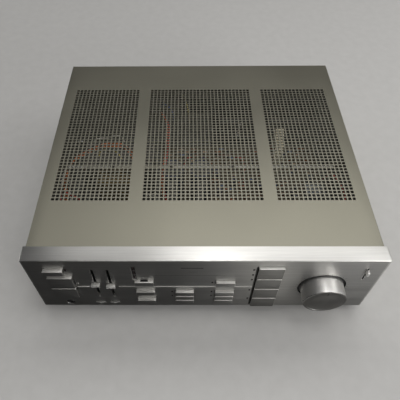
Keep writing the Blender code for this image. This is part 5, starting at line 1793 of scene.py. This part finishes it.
def trimmer(meshes, x, y):
    z = BOARD_Z
    mesh = meshes["trimmer"]
    lathe(mesh, "z", (x, y), [(z + 0.6, 3.6), (z + 2.4, 3.6), (z + 2.4, 3.0), (z + 3.4, 2.8),
                              (z + 3.4, 0.02)], 28)
    block(mesh, x - 2.2, x + 2.2, y - 0.3, y + 0.3, z + 3.2, z + 3.7)


def small_parts():
    """Small components strewn over the main board, clear of the large parts and each other."""
    draw = random.Random(7)
    grid = 2.54
    board = BOARD_BOX
    large = ("filter_capacitor_left", "filter_capacitor_right", "speaker_relay",
             "output_module_left", "output_module_right", "heat_sink",
             "power_transformer_core", "power_transformer_coil")
    taken = [(b.x0 - 2, b.x1 + 2, b.y0 - 2, b.y1 + 2) for b in map(cad_box, large)]
    kinds = ("resistor", "band", "film", "can", "transistor", "wire", "trimmer")
    meshes = {kind: bmesh.new() for kind in kinds}

    def claim(x, y, half_x, half_y):
        """Take the place if it is free."""
        x0, x1, y0, y1 = x - half_x, x + half_x, y - half_y, y + half_y
        if (x0 < board.x0 + 2 or x1 > board.x1 - 2
                or y0 < board.y0 + 2 or y1 > board.y1 - 2):
            return False
        if any(x0 < t[1] and x1 > t[0] and y0 < t[3] and y1 > t[2] for t in taken):
            return False
        taken.append((x0 - 0.8, x1 + 0.8, y0 - 0.8, y1 + 0.8))
        return True

    placed = 0
    for _ in range(900):
        x = draw.uniform(board.x0 + 4, board.x1 - 4)
        y = draw.uniform(board.y0 + 4, board.y1 - 4)
        x, y = round(x / grid) * grid, round(y / grid) * grid
        chance = draw.random()
        if chance < 0.42:
            if not claim(x, y, 5.2, 1.2):
                continue
            resistor(meshes, x, y)
        elif chance < 0.58:
            width, depth, height = draw.choice(((7.5, 3.0, 7.0), (10.5, 4.0, 8.5),
                                                (5.5, 2.6, 6.0)))
            if not claim(x, y, width / 2, depth / 2):
                continue
            block(meshes["film"], x - width / 2, x + width / 2, y - depth / 2, y + depth / 2,
                  BOARD_Z + 0.4, BOARD_Z + height, 0.8, 3)
        elif chance < 0.80:
            radius, height = draw.choice(((2.6, 8.0), (3.2, 11.0), (4.2, 13.0), (5.2, 16.0)))
            if not claim(x, y, radius, radius):
                continue
            small_can(meshes, x, y, radius, height)
        elif chance < 0.95:
            if not claim(x, y, 2.6, 2.2):
                continue
            transistor(meshes, x, y)
        else:
            if not claim(x, y, 4, 4):
                continue
            trimmer(meshes, x, y)
        placed += 1
        if placed > 170:
            break
    resistor_look = plastic("resistor_body", (0.55, 0.40, 0.24), rough=0.5, grain=900,
                            depth=2e-5, dust=0.01)
    band_look = plastic("resistor_bands", (0.28, 0.05, 0.03), rough=0.45, grain=900,
                        depth=1e-5, dust=0.0)
    film_look = plastic("film_capacitor_dip", (0.30, 0.10, 0.035), rough=0.32, grain=500,
                        depth=4e-5, dust=0.02)
    trimmer_look = plastic("trimmer_wafer", (0.10, 0.16, 0.32), rough=0.4)
    # object name, look and slot, in the order of kinds
    finishes = (
        ("board_resistors", resistor_look, "capacitor_sleeve"),
        ("board_bands", band_look, "capacitor_sleeve"),
        ("board_films", film_look, "capacitor_sleeve"),
        ("board_electrolytics", SLEEVE, "capacitor_sleeve"),
        ("board_transistors", BLACK, "black_plastic"),
        ("board_wires", SOLDER, "screw_steel"),
        ("board_trimmers", trimmer_look, "capacitor_sleeve"),
    )
    for kind, (name, look, slot) in zip(kinds, finishes):
        finish_mesh(name, meshes[kind], look, slot, sharp=40)


CORD_X, CORD_Z = RELIEF_AXIS
WIRE_COLOURS = {
    "orange": (0.62, 0.15, 0.03), "red": (0.50, 0.035, 0.025), "yellow": (0.62, 0.50, 0.10),
    "blue": (0.05, 0.11, 0.34), "white": (0.66, 0.64, 0.58),
}
# Points (x, y, z) along each wire
WIRE_RUNS = {
    "orange": [
        [(-190, 120, 60), (-187, 150, 100), (-180, 173, 109), (-170, 184, 111),
         (-155, 196, 111), (-142, 204, 111), (-128, 206, 111), (-110, 203, 110),
         (-98, 192, 104), (-90, 176, 92)],
        [(-192, 118, 60), (-190, 146, 98), (-183, 170, 106), (-172, 181, 108),
         (-157, 193, 108), (-143, 201, 108), (-128, 203, 108), (-111, 200, 107),
         (-100, 189, 101), (-93, 173, 90)],
        [(-52, 130, 60), (-56, 160, 84), (-52, 200, 96), (-50, 239, 102), (-52, 262, 102),
         (-60, 284, 100), (-60, 300, 84)],
    ],
    "red": [
        [(-49, 128, 60), (-53, 158, 84), (-49, 200, 94), (-47, 239, 100), (-49, 260, 100),
         (-57, 282, 98), (-57, 298, 84)],
        [(-196, 62, 40), (-192, 100, 84), (-190, 124, 100), (-178, 118, 102),
         (-166, 113, 100), (-158, 116, 84), (-150, 130, 60)],
        [(-30, 176, 60), (-20, 187, 98), (10, 189, 101), (50, 188, 101), (62, 184, 92),
         (64, 170, 60)],
        [(186, 62, 44), (190, 100, 92), (191, 124, 101), (187, 140, 101), (182, 156, 98),
         (178, 176, 60)],
    ],
    "black": [
        [(CORD_X, 352, CORD_Z), (CORD_X + 4, 320, CORD_Z), (CORD_X + 3, 240, 30),
         (CORD_X + 4, 120, 30), (CORD_X + 9, 70, 70), (CORD_X + 9, 62, 100)],
        [(-146, 166, 84), (-150, 152, 90), (-146, 146, 60), (-130, 150, 36), (-90, 156, 30),
         (-60, 158, 32)],
    ],
    "yellow": [
        [(-150, 186, 84), (-146, 196, 103), (-134, 197, 105), (-122, 195, 104),
         (-112, 186, 90), (-108, 176, 70)],
        [(-24, 340, 84), (-26, 328, 100), (-22, 310, 102), (-18, 291, 100), (-16, 280, 84)],
    ],
    "blue": [
        [(-62, 318, 84), (-59, 308, 100), (-52, 299, 102), (-44, 290, 100), (-40, 280, 80)],
    ],
    "white": [
        [(-166, 214, 84), (-158, 224, 99), (-150, 226, 101), (-140, 228, 101),
         (-128, 231, 101), (-118, 230, 99), (-112, 222, 84)],
        [(-193, 108, 60), (-193, 134, 96), (-192, 160, 101), (-189, 166, 100),
         (-187, 150, 80), (-186, 120, 60)],
        [(58, 246, 84), (61, 254, 101), (65, 260, 101), (68, 268, 84)],
    ],
}
RIBBON_RUN = [(108, 172, 60), (109, 180, 100), (110.5, 188, 114), (113, 205, 117),
              (115.5, 222, 117), (117.5, 234, 114), (118.5, 242, 100), (119, 247, 60)]


def wiring():
    """Loose wires over the boards, and a flat ribbon of nine cores."""
    for name, runs in WIRE_RUNS.items():
        look, radius = CORD_JACKET, 2.0
        if name in WIRE_COLOURS:
            look = plastic(name + "_wire", WIRE_COLOURS[name], rough=0.42, grain=900,
                           depth=2e-5, dust=0.02)
            radius = 1.1
        mesh = bmesh.new()
        for points in runs:
            tube(mesh, spline(points), radius)
        finish_mesh("loom_%s_wires" % name, mesh, look, "coil_tape", sharp=60)
    path = spline(RIBBON_RUN)
    mesh = bmesh.new()
    for k in range(9):
        tube(mesh, [(p.x + (k - 4) * 1.3, p.y, p.z) for p in path], 0.72, 8)
    finish_mesh("cream_ribbon_cable", mesh, CREAM, "coil_tape", sharp=60)


def brace_screws():
    """Row of screws down into the cross-brace."""
    brace = cad_box("chassis_crossbrace")
    mesh = bmesh.new()
    for x in (-120.0, -40.0, 40.0, 120.0):
        screw(mesh, (x, brace.mid_y, brace.z1 + 0.02), (0, 0, 1), 2.8, 1.7, turn=x)
    # near-black steel for these screws: painted shade
    finish_mesh("crossbrace_screws", mesh, ZINC_SHADE, "screw_steel", sharp=40)


for side in ("left", "right"):
    capacitor("filter_capacitor_" + side)
transformer()
small_parts()
wiring()
brace_screws()

# Pieces that keep their CAD shape get their finish here
KEPT = {
    # near-black steel for the subpanel and base chassis, a half-dark copy for the brace: painted
    # shade
    "front_subpanel": ZINC_SHADE, "base_chassis": ZINC_SHADE, "chassis_crossbrace": ZINC_HALF_SHADE,
    "power_transformer_core": LAMINATION, "power_transformer_coil": TAPE, "heat_sink": SINK,
    "output_module_left": BLACK, "output_module_right": BLACK,
    "main_amplifier_board": BOARD, "equalizer_board": BOARD, "control_board": BOARD,
    "speaker_relay": RELAY_CASE, "power_switch": BLACK_MATT,
    "selector_switch_bank": SWITCH_CAN, "bass_slide_pot": POT_DARK,
    "treble_slide_pot": POT_DARK, "volume_pot": SWITCH_CAN, "volume_shaft": SCREW,
}
for node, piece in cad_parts.items():
    if not piece.hide_render:
        piece.data.materials.clear()
        piece.data.materials.append(KEPT[node])

# ---------------------------------------------------------------------------------------------
# Stage, in metres: pale floor, soft light, camera
# ---------------------------------------------------------------------------------------------
SURROUND = (0.60, 0.597, 0.588)
SURROUND_STRENGTH = 0.85
# Brightness of the floor in reflections: place from x = -0.30 to 0.30, colour
REFLECTED = [
    (0.0, (0.008,) * 3), (0.45, (0.03,) * 3), (0.56, (0.115,) * 3),
    (0.63, (0.27, 0.266, 0.257)), (0.70, (0.27, 0.266, 0.257)),
    (0.745, (0.11, 0.109, 0.106)), (0.79, (0.11, 0.109, 0.106)),
    (0.83, (0.14,) * 3), (0.92, (0.12,) * 3),
]


def floor_look():
    look = Look("floor_pale")
    rays = look.node("LightPath").outputs
    fine = look.noise(scale=60.0)
    base = look.shade(fine, MID, (0.60, 0.595, 0.585), (0.63, 0.625, 0.615))
    # in reflections the floor is dark on the left and paler towards the right
    x, y, _ = look.split(look.place)
    seen = look.ramp(look.remap(x, (-0.30, 0.30)), REFLECTED)
    # and brighter towards the front, most of all at the right
    forward = look.remap(y, (-0.195, -0.265), to=(0.85, 2.1))
    right_front = look.times(look.remap(y, (-0.236, -0.263), to=(-0.35, 1.7)),
                             look.remap(x, (0.085, 0.115)))
    forward = look.add(forward, right_front)
    seen = look.join(*[look.times(channel, forward) for channel in look.split(seen)])
    base = look.mix(rays["Is Glossy Ray"], base, seen)
    material = look.finish(Base_Color=base, Roughness=0.85)
    # far from the object the floor fades into the pale surround
    fade = look.times(look.remap(look.length(x, y), (0.75, 2.0)), rays["Is Camera Ray"])
    glow = look.node("Emission", {0: SURROUND, 1: SURROUND_STRENGTH})
    blend = look.node("MixShader", {0: fade, 1: look.shader.outputs[0], 2: glow.outputs[0]})
    look.put(look.output.inputs[0], blend.outputs[0])
    return material


def floor():
    mesh = bmesh.new()
    bmesh.ops.create_circle(mesh, cap_ends=True, radius=9.0, segments=96)
    data = bpy.data.meshes.new("floor")
    mesh.to_mesh(data)
    mesh.free()
    made = bpy.data.objects.new("floor", data)
    bpy.context.scene.collection.objects.link(made)
    made.location = (0, 0, -0.0002)
    data.materials.append(floor_look())


def surround():
    """Seen directly the world is as pale as the floor; it lights the object less than that."""
    world = bpy.data.worlds.new("studio")
    bpy.context.scene.world = world
    world.use_nodes = True
    nodes, links = world.node_tree.nodes, world.node_tree.links
    dim = nodes["Background"]
    dim.inputs[0].default_value = (0.62, 0.63, 0.65, 1)
    dim.inputs[1].default_value = 0.05
    pale = nodes.new("ShaderNodeBackground")
    pale.inputs[0].default_value = (*SURROUND, 1)
    pale.inputs[1].default_value = SURROUND_STRENGTH
    rays = nodes.new("ShaderNodeLightPath")
    pick = nodes.new("ShaderNodeMixShader")
    links.new(rays.outputs["Is Camera Ray"], pick.inputs[0])
    links.new(dim.outputs[0], pick.inputs[1])
    links.new(pale.outputs[0], pick.inputs[2])
    links.new(pick.outputs[0], nodes["World Output"].inputs[0])


WARM = (1.0, 0.99, 0.97)
WARMER = (1.0, 0.985, 0.96)
# name, place, aim, (width, height), watts, colour
LIGHTS = (
    ("key_wide", (0.20, 0.94, 2.0), (0.20, -0.18, 0.13), (3.1, 0.8), 9.2, WARM),
    ("key_main", (0.78, 0.906, 1.944), (0.78, -0.18, 0.13), (2.15, 0.8), 5.8, WARMER),
    ("over_left", (-0.55, -0.10, 2.0), (-0.55, -0.19, 0.13), (0.66, 0.5), 0.3, WARM),
    ("over_core", (0.15, -0.10, 2.0), (0.15, -0.19, 0.13), (0.5, 0.5), 4.7, WARM),
    ("over_right", (0.80, -0.10, 2.0), (0.80, -0.19, 0.13), (0.75, 0.5), 1.4, WARM),
    ("right_upper", (1.45, -0.28, 1.45), (0.15, -0.20, 0.10), (0.9, 0.5), 4.8, WARM),
    ("front_softbox", (0.0, -1.12, 1.75), (0.0, -0.19, 0.10), (2.1, 0.6), 5.7, WARM),
    ("front_fill", (0.0, -2.4, 0.36), (0.0, -0.19, 0.07), (1.8, 0.4), 1.0, WARM),
    ("side_left", (-1.75, 0.60, 0.36), (-0.20, 0.05, 0.06), (1.1, 0.7), 5.0, WARM),
    ("side_right", (1.75, 0.80, 0.36), (0.20, 0.05, 0.06), (1.1, 0.7), 5.5, WARM),
    ("rear_card", (-0.2, 1.95, 0.26), (0.0, 0.20, 0.06), (1.5, 0.4), 2.6, WARM),
    ("right_card", (1.3, -1.5, 0.5), (0, -0.18, 0.06), (0.9, 1.2), 13.5, WARM),
)


def area_light(name, place, aim, size, watts, colour):
    data = bpy.data.lights.new(name, "AREA")
    data.energy = watts
    data.color = colour
    data.shape = "RECTANGLE"
    data.size, data.size_y = size
    made = bpy.data.objects.new(name, data)
    bpy.context.scene.collection.objects.link(made)
    made.location = place
    made.rotation_mode = "QUATERNION"
    made.rotation_quaternion = (Vector(place) - Vector(aim)).to_track_quat("Z", "Y")


CAMERA_PLACE = (-19.04, -244.9, down(-428.14))  # mm, from the lip and above the faceplate
CAMERA_PITCH = math.radians(52.231)  # downwards
CAMERA_YAW = math.radians(-0.92)
CAMERA_ROLL = math.radians(-0.80)


def camera():
    data = bpy.data.cameras.new("camera")
    made = bpy.data.objects.new("camera", data)
    bpy.context.scene.collection.objects.link(made)
    level = math.cos(CAMERA_PITCH)
    ahead = Vector((math.sin(CAMERA_YAW) * level, math.cos(CAMERA_YAW) * level,
                    -math.sin(CAMERA_PITCH)))
    right = Vector((math.cos(CAMERA_YAW), -math.sin(CAMERA_YAW), 0.0))
    up = right.cross(ahead)
    cos, sin = math.cos(CAMERA_ROLL), math.sin(CAMERA_ROLL)
    turn = Matrix((right * cos + up * sin, -right * sin + up * cos, -ahead)).transposed()
    made.matrix_world = Matrix.Translation(to_metres(CAMERA_PLACE)) @ turn.to_4x4()
    data.sensor_width = 36.0
    data.lens = 39.1059
    data.shift_x = 0.041475
    data.shift_y = 0.000525
    data.clip_start = 0.01
    data.clip_end = 50
    bpy.context.scene.camera = made


floor()
surround()
for light in LIGHTS:
    area_light(*light)
camera()
bpy.context.scene.view_settings.view_transform = "Standard"
